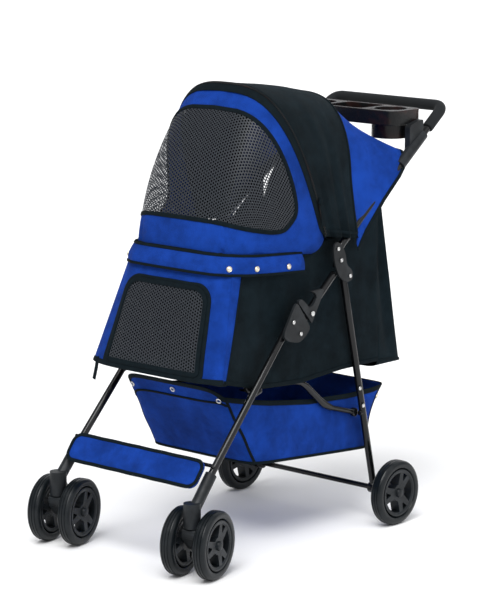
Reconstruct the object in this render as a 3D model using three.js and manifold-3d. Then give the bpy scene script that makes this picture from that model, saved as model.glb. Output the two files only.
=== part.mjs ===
// A four-wheeled pet stroller: a folding tube frame, twin casters in front, a fabric cabin with a hood,
// a basket below and a tray between the handle's arms.
// Millimetres, +Z up. The stroller rolls towards -Y, and X = 0 is its middle plane.
// Heights are measured from the wheels' axles, and the whole stroller is then lifted by the wheels' radius.
import * as THREE from 'three';
import Module from 'manifold-3d';
import { mergeVertices } from 'three/addons/utils/BufferGeometryUtils.js';
import { ConvexGeometry } from 'three/addons/geometries/ConvexGeometry.js';

const wasm = await Module();
wasm.setup();

// ---------- driving dimensions ----------
const wheelRadius = 75;
const tyreWidth = 31;
const rimRadius = 55; // where the tyre meets the hub
const hubWidth = 25;
const axleRadius = 5;
const pinRadius = 4; // the frame's folding pins
const linkPinRadius = 3.5;
const gap = 0.3; // between pieces that touch
const tubeRadius = 8; // legs
const upperTubeRadius = 8.5;
const linkRadius = 6;
const wireRadius = 2.5;

const kneeHalf = 192; // half distance between the tubes at the knees
const legFootHalf = kneeHalf + 11; // the front legs splay outwards on their way down
const rearLegTopHalf = kneeHalf - 8;
const rearLegFootHalf = kneeHalf - 18;
const linkHalf = kneeHalf - 31; // the floor links lie inside both pairs of legs
const handleHalf = kneeHalf - 29; // the arms close in towards the handle
const cabinHalf = kneeHalf - 26; // cabin walls at the legs
const noseHalf = kneeHalf + 4; // cabin at the bottom of its front
const rimNoseHalf = kneeHalf - 46; // cabin rim at the front
const basketHalf = kneeHalf - 44;
const rearWheelHalf = kneeHalf + 44;

const casterTrail = 25;
const casterOffset = 3; // the caster's stem stands this far behind the leg's foot
const casterTurn = THREE.MathUtils.degToRad(13.8); // how far the casters stand turned
const forkHalf = 20; // half width of the block between twin wheels

const clothThickness = 3;
const panelThickness = 4;

// Side-view places [y, z], z from the axles.
const foot = [-404, 73]; // bottom of the front legs
const legTop = [-84, 427]; // top of the front legs, inside the knees
const kneePivot = [-60, 411];
const linkFrontPivot = [-178, 300];
const linkRearPivot = [188, 187];
const legPivot = [113, 518]; // rear leg on the side bracket
const rearAxle = [250, 0];
const bracketTop = [88, 582]; // where the handle's arms enter the side brackets
const upperTubeTop = [72, 527];
const handleCorner = [499, 866];
const hoodFoot = [46, 612];
const hoodApex = [-75, 944];
const seamFoot = [141, 600];
const seamApex = [176, 911];
const leverPivot = [-21, 451];

const root = new THREE.Group();
// The origin lies on the floor, midway between the casters' front edge and the handle's back edge.
const casterY = foot[0] + casterOffset;
const casterAxleY = casterY + casterTrail * Math.cos(casterTurn);
const gripRadius = 13;
const middleY = (casterAxleY - wheelRadius + handleCorner[0] + gripRadius) / 2;
root.position.set(0, -middleY, wheelRadius);

// ---------- finishes ----------
function finish(color, roughness, metalness = 0) {
  return new THREE.MeshStandardMaterial({ color, roughness, metalness });
}

const blackTube = finish(0x111314, 0.3, 0.5);
const blackPlastic = finish(0x1f2324, 0.55);
const tyreRubber = finish(0x0c0c0d, 0.4);
const hubPlastic = finish(0x25282a, 0.45);
const blueCloth = finish(0x1b3c9e, 0.85);
const blackCloth = finish(0x10171b, 0.9);
const foam = finish(0x24282b, 0.95);
const steel = finish(0xb9bcc0, 0.3, 1);
const net = finish(0x090b0c, 0.9);

// ---------- helpers ----------
const sides = [
  { word: 'left', s: 1 },
  { word: 'right', s: -1 },
];

function add(name, geometry, material, parent = root) {
  const mesh = new THREE.Mesh(geometry, material);
  mesh.name = name;
  parent.add(mesh);
  return mesh;
}

// A closed geometry as a manifold solid.
function solid(geometry) {
  const bare = geometry.index ? geometry.toNonIndexed() : geometry.clone();
  for (const key of Object.keys(bare.attributes)) if (key !== 'position') bare.deleteAttribute(key);
  const merged = mergeVertices(bare, 1e-3);
  return new wasm.Manifold(new wasm.Mesh({
    numProp: 3,
    vertProperties: new Float32Array(merged.attributes.position.array),
    triVerts: new Uint32Array(merged.index.array),
  }));
}

function geometryOf(manifold) {
  const mesh = manifold.getMesh();
  const points = [];
  for (let i = 0; i < mesh.numVert; i += 1) {
    for (let k = 0; k < 3; k += 1) points.push(mesh.vertProperties[i * mesh.numProp + k]);
  }
  const geometry = new THREE.BufferGeometry();
  geometry.setAttribute('position', new THREE.Float32BufferAttribute(points, 3));
  geometry.setIndex(Array.from(mesh.triVerts));
  return geometry;
}

const join = (...parts) => geometryOf(parts.map(solid).reduce((a, b) => a.add(b)));
const cut = (body, ...tools) => geometryOf(tools.map(solid).reduce((a, b) => a.subtract(b), solid(body)));
const hull = (points) => new ConvexGeometry(points.map((p) => new THREE.Vector3(...p)));

// A round rod between two points.
function rod(from, to, radius, segments = 12) {
  const a = new THREE.Vector3(...from);
  const b = new THREE.Vector3(...to);
  const geometry = new THREE.CylinderGeometry(radius, radius, a.distanceTo(b), segments);
  const heading = b.clone().sub(a).normalize();
  const turn = new THREE.Quaternion().setFromUnitVectors(new THREE.Vector3(0, 1, 0), heading);
  return geometry.applyQuaternion(turn).translate(...a.add(b).multiplyScalar(0.5).toArray());
}

// A route of straight stretches whose corners are rounded, stepped only where it bends.
class BentRoute extends THREE.Curve {
  constructor(corners, bendRadius, bendSteps = 3) {
    super();
    const at = corners.map((p) => new THREE.Vector3(...p));
    this.stops = [{ point: at[0], heading: at[1].clone().sub(at[0]).normalize() }];
    for (let i = 1; i < at.length - 1; i += 1) {
      const arrive = at[i].clone().sub(at[i - 1]).normalize();
      const leave = at[i + 1].clone().sub(at[i]).normalize();
      const half = arrive.angleTo(leave) / 2;
      const run = Math.min(bendRadius * Math.tan(half), at[i].distanceTo(at[i - 1]) * 0.45,
        at[i].distanceTo(at[i + 1]) * 0.45);
      const start = at[i].clone().addScaledVector(arrive, -run);
      const end = at[i].clone().addScaledVector(leave, run);
      const bend = new THREE.QuadraticBezierCurve3(start, at[i], end);
      for (let k = 0; k <= bendSteps; k += 1) {
        this.stops.push({ point: bend.getPoint(k / bendSteps), heading: bend.getTangent(k / bendSteps) });
      }
    }
    const last = at.length - 1;
    this.stops.push({ point: at[last], heading: at[last].clone().sub(at[last - 1]).normalize() });
  }

  get steps() {
    return this.stops.length - 1;
  }

  stop(t) {
    return this.stops[Math.min(this.steps, Math.round(t * this.steps))];
  }

  getPoint(t, target = new THREE.Vector3()) {
    return target.copy(this.stop(t).point);
  }

  getPointAt(t, target) {
    return this.getPoint(t, target);
  }

  getTangent(t, target = new THREE.Vector3()) {
    return target.copy(this.stop(t).heading);
  }

  getTangentAt(t, target) {
    return this.getTangent(t, target);
  }
}

// A round bar along a bent route.
function bentRod(corners, radius, bendRadius, segments = 10) {
  const route = new BentRoute(corners, bendRadius);
  const section = new THREE.Shape();
  section.absarc(0, 0, radius, 0, Math.PI * 2);
  return new THREE.ExtrudeGeometry(section, {
    extrudePath: route, steps: route.steps, curveSegments: segments / 2, bevelEnabled: false,
  });
}

// An outline in the side view, given thickness from xLow to xHigh.
const sideAxes = new THREE.Matrix4().makeBasis(
  new THREE.Vector3(0, 1, 0), new THREE.Vector3(0, 0, 1), new THREE.Vector3(1, 0, 0),
);
function sidePlate(shape, xLow, xHigh, curveSegments = 3) {
  const depth = xHigh - xLow;
  const geometry = new THREE.ExtrudeGeometry(shape, { depth, bevelEnabled: false, curveSegments });
  return geometry.applyMatrix4(sideAxes).translate(xLow, 0, 0);
}

// The same plate on either side of the stroller: inner and outer are distances from the middle plane.
function plateOn(s, shape, inner, outer) {
  return sidePlate(shape, Math.min(s * inner, s * outer), Math.max(s * inner, s * outer));
}

// A closed outline whose corners are rounded by short curves.
function roundedOutline(corners, radius) {
  const shape = new THREE.Shape();
  const at = corners.map((p) => new THREE.Vector2(...p));
  at.forEach((corner, i) => {
    const before = at[(i + at.length - 1) % at.length];
    const after = at[(i + 1) % at.length];
    const run = Math.min(radius, corner.distanceTo(before) * 0.48, corner.distanceTo(after) * 0.48);
    const start = corner.clone().lerp(before, run / corner.distanceTo(before));
    const end = corner.clone().lerp(after, run / corner.distanceTo(after));
    if (i === 0) shape.moveTo(start.x, start.y);
    else shape.lineTo(start.x, start.y);
    shape.quadraticCurveTo(corner.x, corner.y, end.x, end.y);
  });
  shape.closePath();
  return shape;
}

// A sheet with thickness over a grid of points, grown along each point's own push vector.
function sheetSolid(grid, push) {
  const rows = grid.length;
  const columns = grid[0].length;
  const points = [];
  grid.forEach((row) => row.forEach((p) => points.push(...p.toArray())));
  grid.forEach((row, i) => row.forEach((p, j) => points.push(...p.clone().add(push(i, j, p)).toArray())));
  const outer = (i, j) => i * columns + j;
  const inner = (i, j) => rows * columns + i * columns + j;
  const faces = [];
  const quad = (a, b, c, d) => faces.push(a, b, c, a, c, d);
  for (let i = 0; i < rows - 1; i += 1) {
    for (let j = 0; j < columns - 1; j += 1) {
      quad(outer(i, j), outer(i + 1, j), outer(i + 1, j + 1), outer(i, j + 1));
      quad(inner(i, j), inner(i, j + 1), inner(i + 1, j + 1), inner(i + 1, j));
    }
    quad(outer(i, 0), inner(i, 0), inner(i + 1, 0), outer(i + 1, 0));
    quad(outer(i, columns - 1), outer(i + 1, columns - 1), inner(i + 1, columns - 1), inner(i, columns - 1));
  }
  for (let j = 0; j < columns - 1; j += 1) {
    quad(outer(0, j), outer(0, j + 1), inner(0, j + 1), inner(0, j));
    quad(outer(rows - 1, j), inner(rows - 1, j), inner(rows - 1, j + 1), outer(rows - 1, j + 1));
  }
  const geometry = new THREE.BufferGeometry();
  geometry.setAttribute('position', new THREE.Float32BufferAttribute(points, 3));
  geometry.setIndex(faces);
  if (solid(geometry).volume() < 0) {
    for (let k = 0; k < faces.length; k += 3) [faces[k], faces[k + 1]] = [faces[k + 1], faces[k]];
    geometry.setIndex(faces);
  }
  return geometry;
}

const along = (from, to, share) => from.map((value, k) => value + (to[k] - value) * share);

// ---------- wheels ----------
// A wheel's own frame: its axle is the X axis and its centre is the origin.
const wheelSegments = 28;

function tyre() {
  const half = tyreWidth / 2;
  const shoulder = wheelRadius - 9;
  const edge = wheelRadius - 3;
  const profile = [
    [rimRadius + gap, -half * 0.72], [shoulder, -half], [edge, -half * 0.8], [wheelRadius, -half * 0.35],
    [wheelRadius, half * 0.35], [edge, half * 0.8], [shoulder, half], [rimRadius + gap, half * 0.72],
    [rimRadius + gap, -half * 0.72],
  ];
  const ring = new THREE.LatheGeometry(profile.map((p) => new THREE.Vector2(...p)), wheelSegments);
  return ring.rotateZ(-Math.PI / 2);
}

const arc = (radius, from, to, count) => Array.from({ length: count + 1 }, (_, k) => {
  const angle = from + ((to - from) * k) / count;
  return new THREE.Vector2(radius * Math.cos(angle), radius * Math.sin(angle));
});

// Three forked arms, with a wide window between the arms and a slot between each arm's prongs.
function hub() {
  const shape = new THREE.Shape(arc(rimRadius, 0, Math.PI * 2, wheelSegments));
  shape.holes.push(new THREE.Path(arc(axleRadius + gap, Math.PI * 2, 0, 10)));
  const windowOuter = rimRadius * 0.84;
  for (let arm = 0; arm < 3; arm += 1) {
    const middle = Math.PI / 2 + (arm * Math.PI * 2) / 3;
    shape.holes.push(new THREE.Path([...arc(windowOuter, middle + 0.62, middle - 0.62, 8),
      ...arc(rimRadius * 0.36, middle - 0.38, middle + 0.38, 4)]));
    const slot = middle + Math.PI / 3;
    shape.holes.push(new THREE.Path([...arc(windowOuter, slot + 0.17, slot - 0.17, 3),
      ...arc(rimRadius * 0.55, slot - 0.05, slot + 0.05, 1)]));
  }
  const disc = new THREE.ExtrudeGeometry(shape, { depth: hubWidth, bevelEnabled: false });
  return disc.translate(0, 0, -hubWidth / 2).rotateY(Math.PI / 2);
}

function addWheel(prefix, parent, x, y, z) {
  const wheel = new THREE.Group();
  wheel.position.set(x, y, z);
  parent.add(wheel);
  add(`${prefix}_tyre`, tyre(), tyreRubber, wheel);
  add(`${prefix}_hub`, hub(), hubPlastic, wheel);
}

// ---------- casters ----------
const casterHalf = legFootHalf - 1;
const casterStemTop = foot[1] - 35;
const stemRadius = 6.5;
const stemReach = 18; // how far the stem stands up into its socket
const wheelPlay = 3.5; // between the caster's block and its tyres
const axleEnd = 5; // how far an axle stands out of its wheel
const twinHalf = forkHalf + wheelPlay + tyreWidth / 2;

function addCaster({ word, s }) {
  const turning = new THREE.Group();
  turning.position.set(s * casterHalf, casterY, 0);
  turning.rotation.z = casterTurn;
  root.add(turning);
  const block = sidePlate(roundedOutline([
    [-17, casterStemTop], [17, casterStemTop], [casterTrail + 17, 10], [casterTrail + 14, -14],
    [casterTrail - 12, -14], [-17, 18],
  ], 8), -forkHalf * 0.8, forkHalf * 0.8);
  const stem = rod([0, 0, 20], [0, 0, casterStemTop + stemReach], stemRadius);
  const axleHalf = twinHalf + hubWidth / 2 + axleEnd;
  const axle = rod([-axleHalf, casterTrail, 0], [axleHalf, casterTrail, 0], axleRadius);
  const collar = rod([-forkHalf, casterTrail, 0], [forkHalf, casterTrail, 0], 11);
  add(`caster_fork_${word}`, join(block, stem, collar, axle), blackPlastic, turning);
  for (const [place, side] of [['outer', s], ['inner', -s]]) {
    addWheel(`caster_${word}_${place}`, turning, side * twinHalf, casterTrail, 0);
  }
}

// The socket holds the leg's foot and the caster's stem.
function addCasterSocket({ word, s }) {
  const bottom = casterStemTop + 1;
  const top = foot[1] + 20;
  const housing = rod([s * casterHalf, casterY, bottom], [s * casterHalf, casterY, top], 19, 16);
  const legSide = legPoint(s, 0.2);
  const sleeve = rod([s * legFootHalf, foot[0], foot[1] - 6], legSide, tubeRadius + 5, 14);
  const legBore = rod(legPoint(s, 0), legPoint(s, 0.3), tubeRadius + gap, 14);
  const boreTop = casterStemTop + stemReach + 0.5;
  const stemAt = (z) => [s * casterHalf, casterY, z];
  const stemBore = rod(stemAt(bottom - 5), stemAt(boreTop), stemRadius + 0.5, 12);
  add(`caster_socket_${word}`, cut(join(housing, sleeve), legBore, stemBore), blackPlastic);
}

// ---------- front frame ----------
const legPoint = (s, share) => along([s * legFootHalf, ...foot], [s * kneeHalf, ...legTop], share);

function addFrontLeg({ word, s }) {
  const share = (linkFrontPivot[1] - 8 - foot[1]) / (legTop[1] - foot[1]);
  const onLeg = legPoint(s, share);
  const pivot = [onLeg[0], ...linkFrontPivot];
  const pin = rod([s * (linkHalf - linkRadius - 3), ...linkFrontPivot], pivot, linkPinRadius, 10);
  const spacer = rod([s * (linkHalf + linkRadius + 1), ...linkFrontPivot], pivot, 7, 12);
  const lug = rod(onLeg, pivot, 6, 10);
  const tube = rod(legPoint(s, 0), legPoint(s, 1), tubeRadius, 14);
  add(`front_leg_${word}`, join(tube, spacer, lug, pin), blackTube);
}

// The knee's lower half: a plastic cheek outside the leg's top, with the pin that the upper tube turns on.
const kneeRivet = [-85, 440];
const kneeOutline = roundedOutline([[-113, 422], [-76, 479], [-70, 480], [-25, 420], [-40, 404], [-62, 391],
  [-98, 398], [-115, 409]], 12);
const cheekInner = kneeHalf + Math.max(upperTubeRadius, tubeRadius + 0.5) + 1.5; // clears both tubes
const cheekOuter = cheekInner + 7;

function addKneeShell({ word, s }) {
  const cheek = plateOn(s, kneeOutline, cheekInner, cheekOuter);
  const pin = rod([s * (kneeHalf - 12), ...kneePivot], [s * (cheekOuter + 2), ...kneePivot], pinRadius, 10);
  const rivet = rod([s * (cheekInner + 1), ...kneeRivet], [s * (cheekOuter + 2), ...kneeRivet], pinRadius, 10);
  add(`knee_shell_${word}`, join(cheek, pin, rivet), blackPlastic);
}

// The panel and its rod lie just ahead of the legs.
const footrestTop = [-341 - tubeRadius, 168];
const footrestBottom = [-376 - tubeRadius, 120];
const footrestHalf = legFootHalf - 7;

function addFootrest() {
  const rodAt = [footrestTop[0] + 9, footrestTop[1] - 5];
  const rodHalf = legFootHalf + 4;
  add('footrest_rod', rod([-rodHalf, ...rodAt], [rodHalf, ...rodAt], 4, 10), blackTube);
  const [rise, run] = [footrestTop[1] - footrestBottom[1], footrestTop[0] - footrestBottom[0]];
  const length = Math.hypot(rise, run);
  const normal = [-rise / length, run / length];
  const at = ([y, z], out) => [y + normal[0] * out, z + normal[1] * out];
  const corners = [at(footrestTop, 7), at(footrestTop, 0), at(footrestBottom, 0), at(footrestBottom, 7)];
  add('footrest_panel', sidePlate(roundedOutline(corners, 2), -footrestHalf, footrestHalf), blueCloth);
}

// ---------- upper frame ----------
const tubeFoot = [-38, 432]; // lower end of the upper tubes, inside the knees
function addUpperTube({ word, s }) {
  const at = (reach, place) => [s * (kneeHalf + reach), ...place];
  const tube = rod(at(0, tubeFoot), at(0, upperTubeTop), upperTubeRadius, 14);
  const eye = rod(at(-upperTubeRadius, kneePivot), at(upperTubeRadius, kneePivot), 11, 16);
  const neck = rod(at(0, kneePivot), at(0, tubeFoot), 7, 10);
  const bore = rod(at(-30, kneePivot), at(30, kneePivot), pinRadius + gap, 10);
  add(`upper_tube_${word}`, cut(join(tube, neck, eye), bore), blackTube);
}

// The release lever sits outside the upper tube: a long knuckle with a curled finger hook.
const leverOutline = () => {
  const shape = new THREE.Shape();
  shape.moveTo(20, 497);
  shape.quadraticCurveTo(16, 502, 7, 502);
  shape.lineTo(-25, 501);
  shape.quadraticCurveTo(-4, 494, -6, 484);
  shape.quadraticCurveTo(-14, 466, -31, 466);
  shape.quadraticCurveTo(-42, 478, -56, 487);
  shape.quadraticCurveTo(-68, 488, -66, 479);
  shape.lineTo(-21, 429);
  shape.closePath();
  return shape;
};

function addKneeLever({ word, s }) {
  const start = kneeHalf + upperTubeRadius + 1;
  const plate = plateOn(s, leverOutline(), start, start + 7);
  const at = (reach) => [s * (start + reach), ...leverPivot];
  const pinHole = rod(at(-3), at(20), linkPinRadius + gap, 10);
  add(`knee_lever_${word}`, cut(plate, pinHole), blackPlastic);
}

// The pivot the lever turns on, fixed to the upper tube.
function addLeverPin({ word, s }) {
  const start = kneeHalf + upperTubeRadius + gap;
  const pin = rod([s * start, ...leverPivot], [s * (start + 11), ...leverPivot], linkPinRadius, 10);
  const head = rod([s * (start + 8.5), ...leverPivot], [s * (start + 11), ...leverPivot], 6, 12);
  add(`lever_rivet_${word}`, join(pin, head), steel);
}

// The side bracket is a plastic plate that ties the upper tube, the handle's arm and the rear leg.
const bracketRivets = [[70, 584], [81, 557]];
const bracketOutline = roundedOutline([[60, 598], [55, 583], [59, 556], [69, 532], [80, 516], [104, 504],
  [123, 508], [123, 528], [101, 545], [98, 567], [87, 588], [72, 599]], 9);

function addSideBracket({ word, s }) {
  const inner = kneeHalf + upperTubeRadius + gap;
  const plate = plateOn(s, bracketOutline, inner, inner + 4);
  const reach = rearLegTopHalf - tubeRadius - 3;
  const pin = rod([s * reach, ...legPivot], [s * (inner + 6), ...legPivot], pinRadius, 10);
  const rivet = (at) => rod([s * (inner + 2), ...at], [s * (inner + 6), ...at], pinRadius, 10);
  const rivets = bracketRivets.map(rivet);
  add(`side_bracket_${word}`, join(plate, pin, ...rivets), blackPlastic);
}

const armPoint = (s, share) => along([s * kneeHalf, ...bracketTop], [s * handleHalf, ...handleCorner], share);
const handleBend = 26;
const gripShare = 0.84; // where the grip starts along the arm

function addHandle() {
  const start = [upperTubeTop[0] + 8, upperTubeTop[1] + 12];
  const corners = [
    [kneeHalf, ...start], [kneeHalf, ...bracketTop], armPoint(1, 1),
    armPoint(-1, 1), [-kneeHalf, ...bracketTop], [-kneeHalf, ...start],
  ];
  add('handle_tube', bentRod(corners, upperTubeRadius, handleBend, 12), blackTube);
}

// The grip is a foam sleeve over the handle's back bar and the ends of its arms.
function addGrip() {
  const route = (share) => [armPoint(1, share), armPoint(1, 1), armPoint(-1, 1), armPoint(-1, share)];
  const sleeve = bentRod(route(gripShare), gripRadius, handleBend, 14);
  const bore = bentRod(route(gripShare - 0.03), upperTubeRadius + gap, handleBend, 12);
  add('handle_grip', cut(sleeve, bore), foam);
}

// ---------- tray ----------
const trayFront = 318;
const trayBack = 428;
const trayTop = 866;
const trayDepth = 34;
const dishDepth = 22;
const trayShare = (y) => (y - bracketTop[0]) / (handleCorner[0] - bracketTop[0]);
const trayHalf = handleHalf - 4;
const wellRadius = 38;
const wellDepth = 62;
const wellWall = 5;
const wellX = trayHalf - wellRadius - 16;
const trayMiddle = (trayFront + trayBack) / 2;

function addTray() {
  const outline = roundedOutline([[-trayHalf, trayFront], [trayHalf, trayFront], [trayHalf, trayBack],
    [-trayHalf, trayBack]], 30);
  const plate = new THREE.ExtrudeGeometry(outline, { depth: trayDepth, bevelEnabled: false, curveSegments: 5 })
    .translate(0, 0, trayTop - trayDepth);
  const bodies = [plate];
  const hollows = [];
  for (const { s } of sides) {
    const at = (z) => [s * wellX, trayMiddle, z];
    bodies.push(rod(at(trayTop - wellDepth - wellWall), at(trayTop - 1), wellRadius + wellWall, 24));
    hollows.push(rod(at(trayTop - wellDepth), at(trayTop + 5), wellRadius, 24));
  }
  const dishHalf = wellX - wellRadius - 12;
  const dish = roundedOutline([[-dishHalf, trayFront + 10], [dishHalf, trayFront + 10],
    [dishHalf, trayBack - 10], [-dishHalf, trayBack - 10]], 12);
  hollows.push(new THREE.ExtrudeGeometry(dish, { depth: 40, bevelEnabled: false, curveSegments: 4 })
    .translate(0, 0, trayTop - dishDepth));
  add('tray', cut(join(...bodies), ...hollows), blackPlastic);
}

// A clamp grips the arm and carries the tray's side.
function addTrayClamp({ word, s }) {
  const low = armPoint(s, trayShare(trayFront + 4));
  const high = armPoint(s, trayShare(trayBack - 14));
  const sleeve = rod(low, high, upperTubeRadius + 4.5, 14);
  const bore = rod(armPoint(s, 0.4), armPoint(s, 0.95), upperTubeRadius + gap, 12);
  const armHalf = Math.abs(armPoint(s, trayShare(trayMiddle))[0]);
  const armHeight = (y) => armPoint(s, trayShare(y))[2];
  const [front, back] = [trayFront + 42, trayBack - 18];
  const web = plateOn(s, roundedOutline([[front, armHeight(front) - 4], [back, armHeight(back) - 6],
    [back, trayTop - 22], [front, trayTop - 34]], 8), trayHalf + gap, armHalf + 2);
  add(`tray_clamp_${word}`, cut(join(sleeve, web), bore), blackPlastic);
}

// ---------- rim wire and hood hoops ----------
const rimFoot = [10, 562];
const rimFront = [-236, 585];
function addRimWire() {
  const half = cabinHalf - panelThickness - wireRadius - 1;
  const nose = [rimFront[0] + 14, rimFront[1]];
  const back = [58, rimFoot[1]];
  const corners = [[half, ...back], [half, ...rimFoot], [rimNoseHalf - 8, ...nose],
    [-rimNoseHalf + 8, ...nose], [-half, ...rimFoot], [-half, ...back]];
  add('rim_wire', bentRod(corners, wireRadius, 30, 8), steel);
}

// A superellipse arch in a leaning plane, from its right foot over the apex to its left foot.
const signed = (value, power) => Math.sign(value) * Math.abs(value) ** power;
function archPoint(half, footAt, apexAt, exponent, share) {
  const turn = Math.PI * (1 - share);
  const rise = Math.abs(Math.sin(turn)) ** (2 / exponent);
  return [half * signed(Math.cos(turn), 2 / exponent), ...along(footAt, apexAt, rise)];
}

const frontArch = (share) => archPoint(kneeHalf - 3, hoodFoot, hoodApex, 3, share);
const rearArch = (share) => archPoint(cabinHalf + 4, seamFoot, seamApex, 2.7, share);

// The hood's sheets and hoops are set inwards from their arches, towards a point inside the hood.
const hoodMiddle = new THREE.Vector3(0, 60, 640);
const inward = (p, depth) => p.clone().add(hoodMiddle.clone().sub(p).normalize().multiplyScalar(depth));

function addHoop(name, arch, depth, parent) {
  const steps = 22;
  const points = [];
  for (let i = 0; i <= steps; i += 1) points.push(inward(new THREE.Vector3(...arch(i / steps)), depth));
  const route = new THREE.CatmullRomCurve3(points);
  const section = new THREE.Shape();
  section.absarc(0, 0, wireRadius, 0, Math.PI * 2);
  add(name, new THREE.ExtrudeGeometry(section, {
    extrudePath: route, steps: 26, curveSegments: 3, bevelEnabled: false,
  }), blackTube, parent);
}

// ---------- hood ----------
// Each hood section is a sheet stretched from one arch to the next, bulging outwards in between.
function hoodSection(name, fromArch, toArch, bulge, material, rows = 18, columns = 4) {
  const grid = [];
  for (let i = 0; i <= rows; i += 1) {
    const line = [];
    for (let j = 0; j <= columns; j += 1) {
      const share = j / columns;
      const p = new THREE.Vector3(...along(fromArch(i / rows), toArch(i / rows), share));
      const out = p.clone().sub(hoodMiddle).normalize();
      const lift = bulge * 4 * share * (1 - share) * Math.sin(Math.PI * (0.12 + 0.76 * (i / rows)));
      line.push(p.addScaledVector(out, lift));
    }
    grid.push(line);
  }
  const push = (i, j, p) => inward(p, clothThickness).sub(p);
  add(name, sheetSolid(grid, push), material);
}

// The cabin's rim as an arch laid flat: from the right foot round the front to the left foot.
function rimArch(share) {
  const turn = Math.PI * (1 - share);
  const exponent = 6.5;
  const rise = Math.abs(Math.sin(turn)) ** (2 / exponent);
  const footHalf = cabinHalf + 5;
  const half = footHalf - (footHalf - rimNoseHalf) * rise ** 3;
  const across = half * signed(Math.cos(turn), 2 / exponent);
  return [across, ...along([rimFoot[0] + 4, rimFoot[1] + 12], [rimFront[0], rimFront[1] + 8], rise)];
}

// The hood's rear edge, from its right foot up to the handle's arms, across behind the tray and down again.
const rearEdgeSide = [[cabinHalf + 6, 150, 574], [cabinHalf + 4, 215, 659], [cabinHalf, 280, 705],
  [cabinHalf - 6, 334, 742], [cabinHalf - 16, 344, 770], [cabinHalf - 60, 352, 774], [0, 356, 775]];
function rearEdge(share) {
  const s = share < 0.5 ? -1 : 1;
  const place = (0.5 - Math.abs(share - 0.5)) * 2 * (rearEdgeSide.length - 1);
  const k = Math.min(Math.floor(place), rearEdgeSide.length - 2);
  const [x, y, z] = along(rearEdgeSide[k], rearEdgeSide[k + 1], place - k);
  return [s * x, y, z];
}

const shifted = (arch, dy, dz) => (share) => {
  const [x, y, z] = arch(share);
  return [x, y + dy, z + dz];
};

// ---------- cabin ----------
const cabinFloorFront = [-298, 338];
const cabinFloorBack = [258, 303];
const cabinBackTop = [238, 634];
const noseSide = [-168, 329]; // where the side wall starts to flare towards the front
const noseTop = [-110, 560];

function addCabinSide({ word, s }) {
  const x = s * cabinHalf;
  const wall = s * panelThickness;
  const low = [noseSide[0], noseSide[1] + 5];
  const outline = [low, [cabinFloorBack[0] - 8, cabinFloorBack[1] + 5],
    [cabinBackTop[0] - 8, cabinBackTop[1] - 8], [140, 584], [20, 544], noseTop];
  const main = hull(outline.flatMap(([y, z]) => [[x, y, z], [x - wall, y, z]]));
  const nose = [[x, ...low], [x, ...noseTop], [s * (rimNoseHalf + 2), rimFront[0] + 20, rimFront[1] - 4],
    [s * (noseHalf - 2), cabinFloorFront[0] + 14, cabinFloorFront[1] + 4]];
  const flare = hull(nose.flatMap(([px, y, z]) => [[px, y, z], [px - wall, y + 1, z]]));
  add(`cabin_side_${word}`, join(main, flare), blackCloth);
}

const windowHalf = 140;
const windowTaper = 16;
const windowLow = 0.05; // shares of the way up the front wall
const windowHigh = 0.75;
const windowEdge = 1.5;
const frontWallPoint = (x, share, out = 0) => {
  const [y, z] = along(cabinFloorFront, rimFront, share);
  return [x, y - out, z + out * 0.3];
};

function frontPrism(halfLow, halfHigh, from, to, outLow, outHigh) {
  const corners = [];
  for (const out of [outLow, outHigh]) {
    for (const [half, share] of [[halfLow, from], [halfHigh, to]]) {
      corners.push(frontWallPoint(half, share, out), frontWallPoint(-half, share, out));
    }
  }
  return hull(corners);
}

function addCabinFront() {
  const wall = frontPrism(noseHalf - 3, rimNoseHalf - 1, 0.02, 0.98, 0, panelThickness);
  const doorway = frontPrism(windowHalf, windowHalf - windowTaper, windowLow, windowHigh, -10, 20);
  add('cabin_front', cut(wall, doorway), blueCloth);
  const half = windowHalf - windowEdge;
  const flap = frontPrism(half, half - windowTaper, windowLow + 0.008, windowHigh - 0.006, 0.5, 3);
  add('window_flap', flap, net);
}

function addCabinBack() {
  const half = cabinHalf - panelThickness - 1;
  const [yLow, zLow] = [cabinFloorBack[0] - 8, cabinFloorBack[1] + 5];
  const [yHigh, zHigh] = [cabinBackTop[0] - 8, cabinBackTop[1] - 8];
  const corners = [];
  for (const x of [-half, half]) {
    for (const inset of [0, panelThickness]) corners.push([x, yLow - inset, zLow], [x, yHigh - inset, zHigh]);
  }
  add('cabin_back', hull(corners), blackCloth);
}

function addFloorBoard() {
  const half = cabinHalf - panelThickness - 1;
  const board = [];
  const stations = [[noseHalf - 10, cabinFloorFront[0] + 14, cabinFloorFront[1] + 2],
    [half, noseSide[0], noseSide[1] + 4], [half, cabinFloorBack[0] - 20, cabinFloorBack[1] + 4]];
  for (const [w, y, z] of stations) {
    for (const x of [-w, w]) board.push([x, y, z], [x, y, z - 6]);
  }
  add('floor_board', hull(board), blackCloth);
}

function addRearPocket() {
  const [frontLow, frontHigh] = [[262, 303], [242, 632]];
  const [backLow, backMiddle, backHigh] = [[372, 288], [333, 480], [289, 680]];
  const t = clothThickness;
  const lift = 40; // the hollow runs up past the pocket's mouth
  const outside = [];
  const inside = [];
  for (const { s } of sides) {
    const wide = s * (cabinHalf + 2);
    const narrow = s * (cabinHalf - 4);
    const [wideIn, narrowIn] = [wide - s * t, narrow - s * t];
    outside.push([wide, ...frontLow], [wide, ...frontHigh]);
    outside.push([narrow, ...backLow], [narrow, ...backMiddle], [narrow, ...backHigh]);
    inside.push([wideIn, frontLow[0] + t, frontLow[1] + t], [wideIn, frontHigh[0] + t, frontHigh[1] + lift]);
    inside.push([narrowIn, backLow[0] - t, backLow[1] + t], [narrowIn, backMiddle[0] - t, backMiddle[1]]);
    inside.push([narrowIn, backHigh[0] - t, backHigh[1] + lift]);
  }
  add('rear_pocket', cut(hull(outside), hull(inside)), blackCloth);
}

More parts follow.
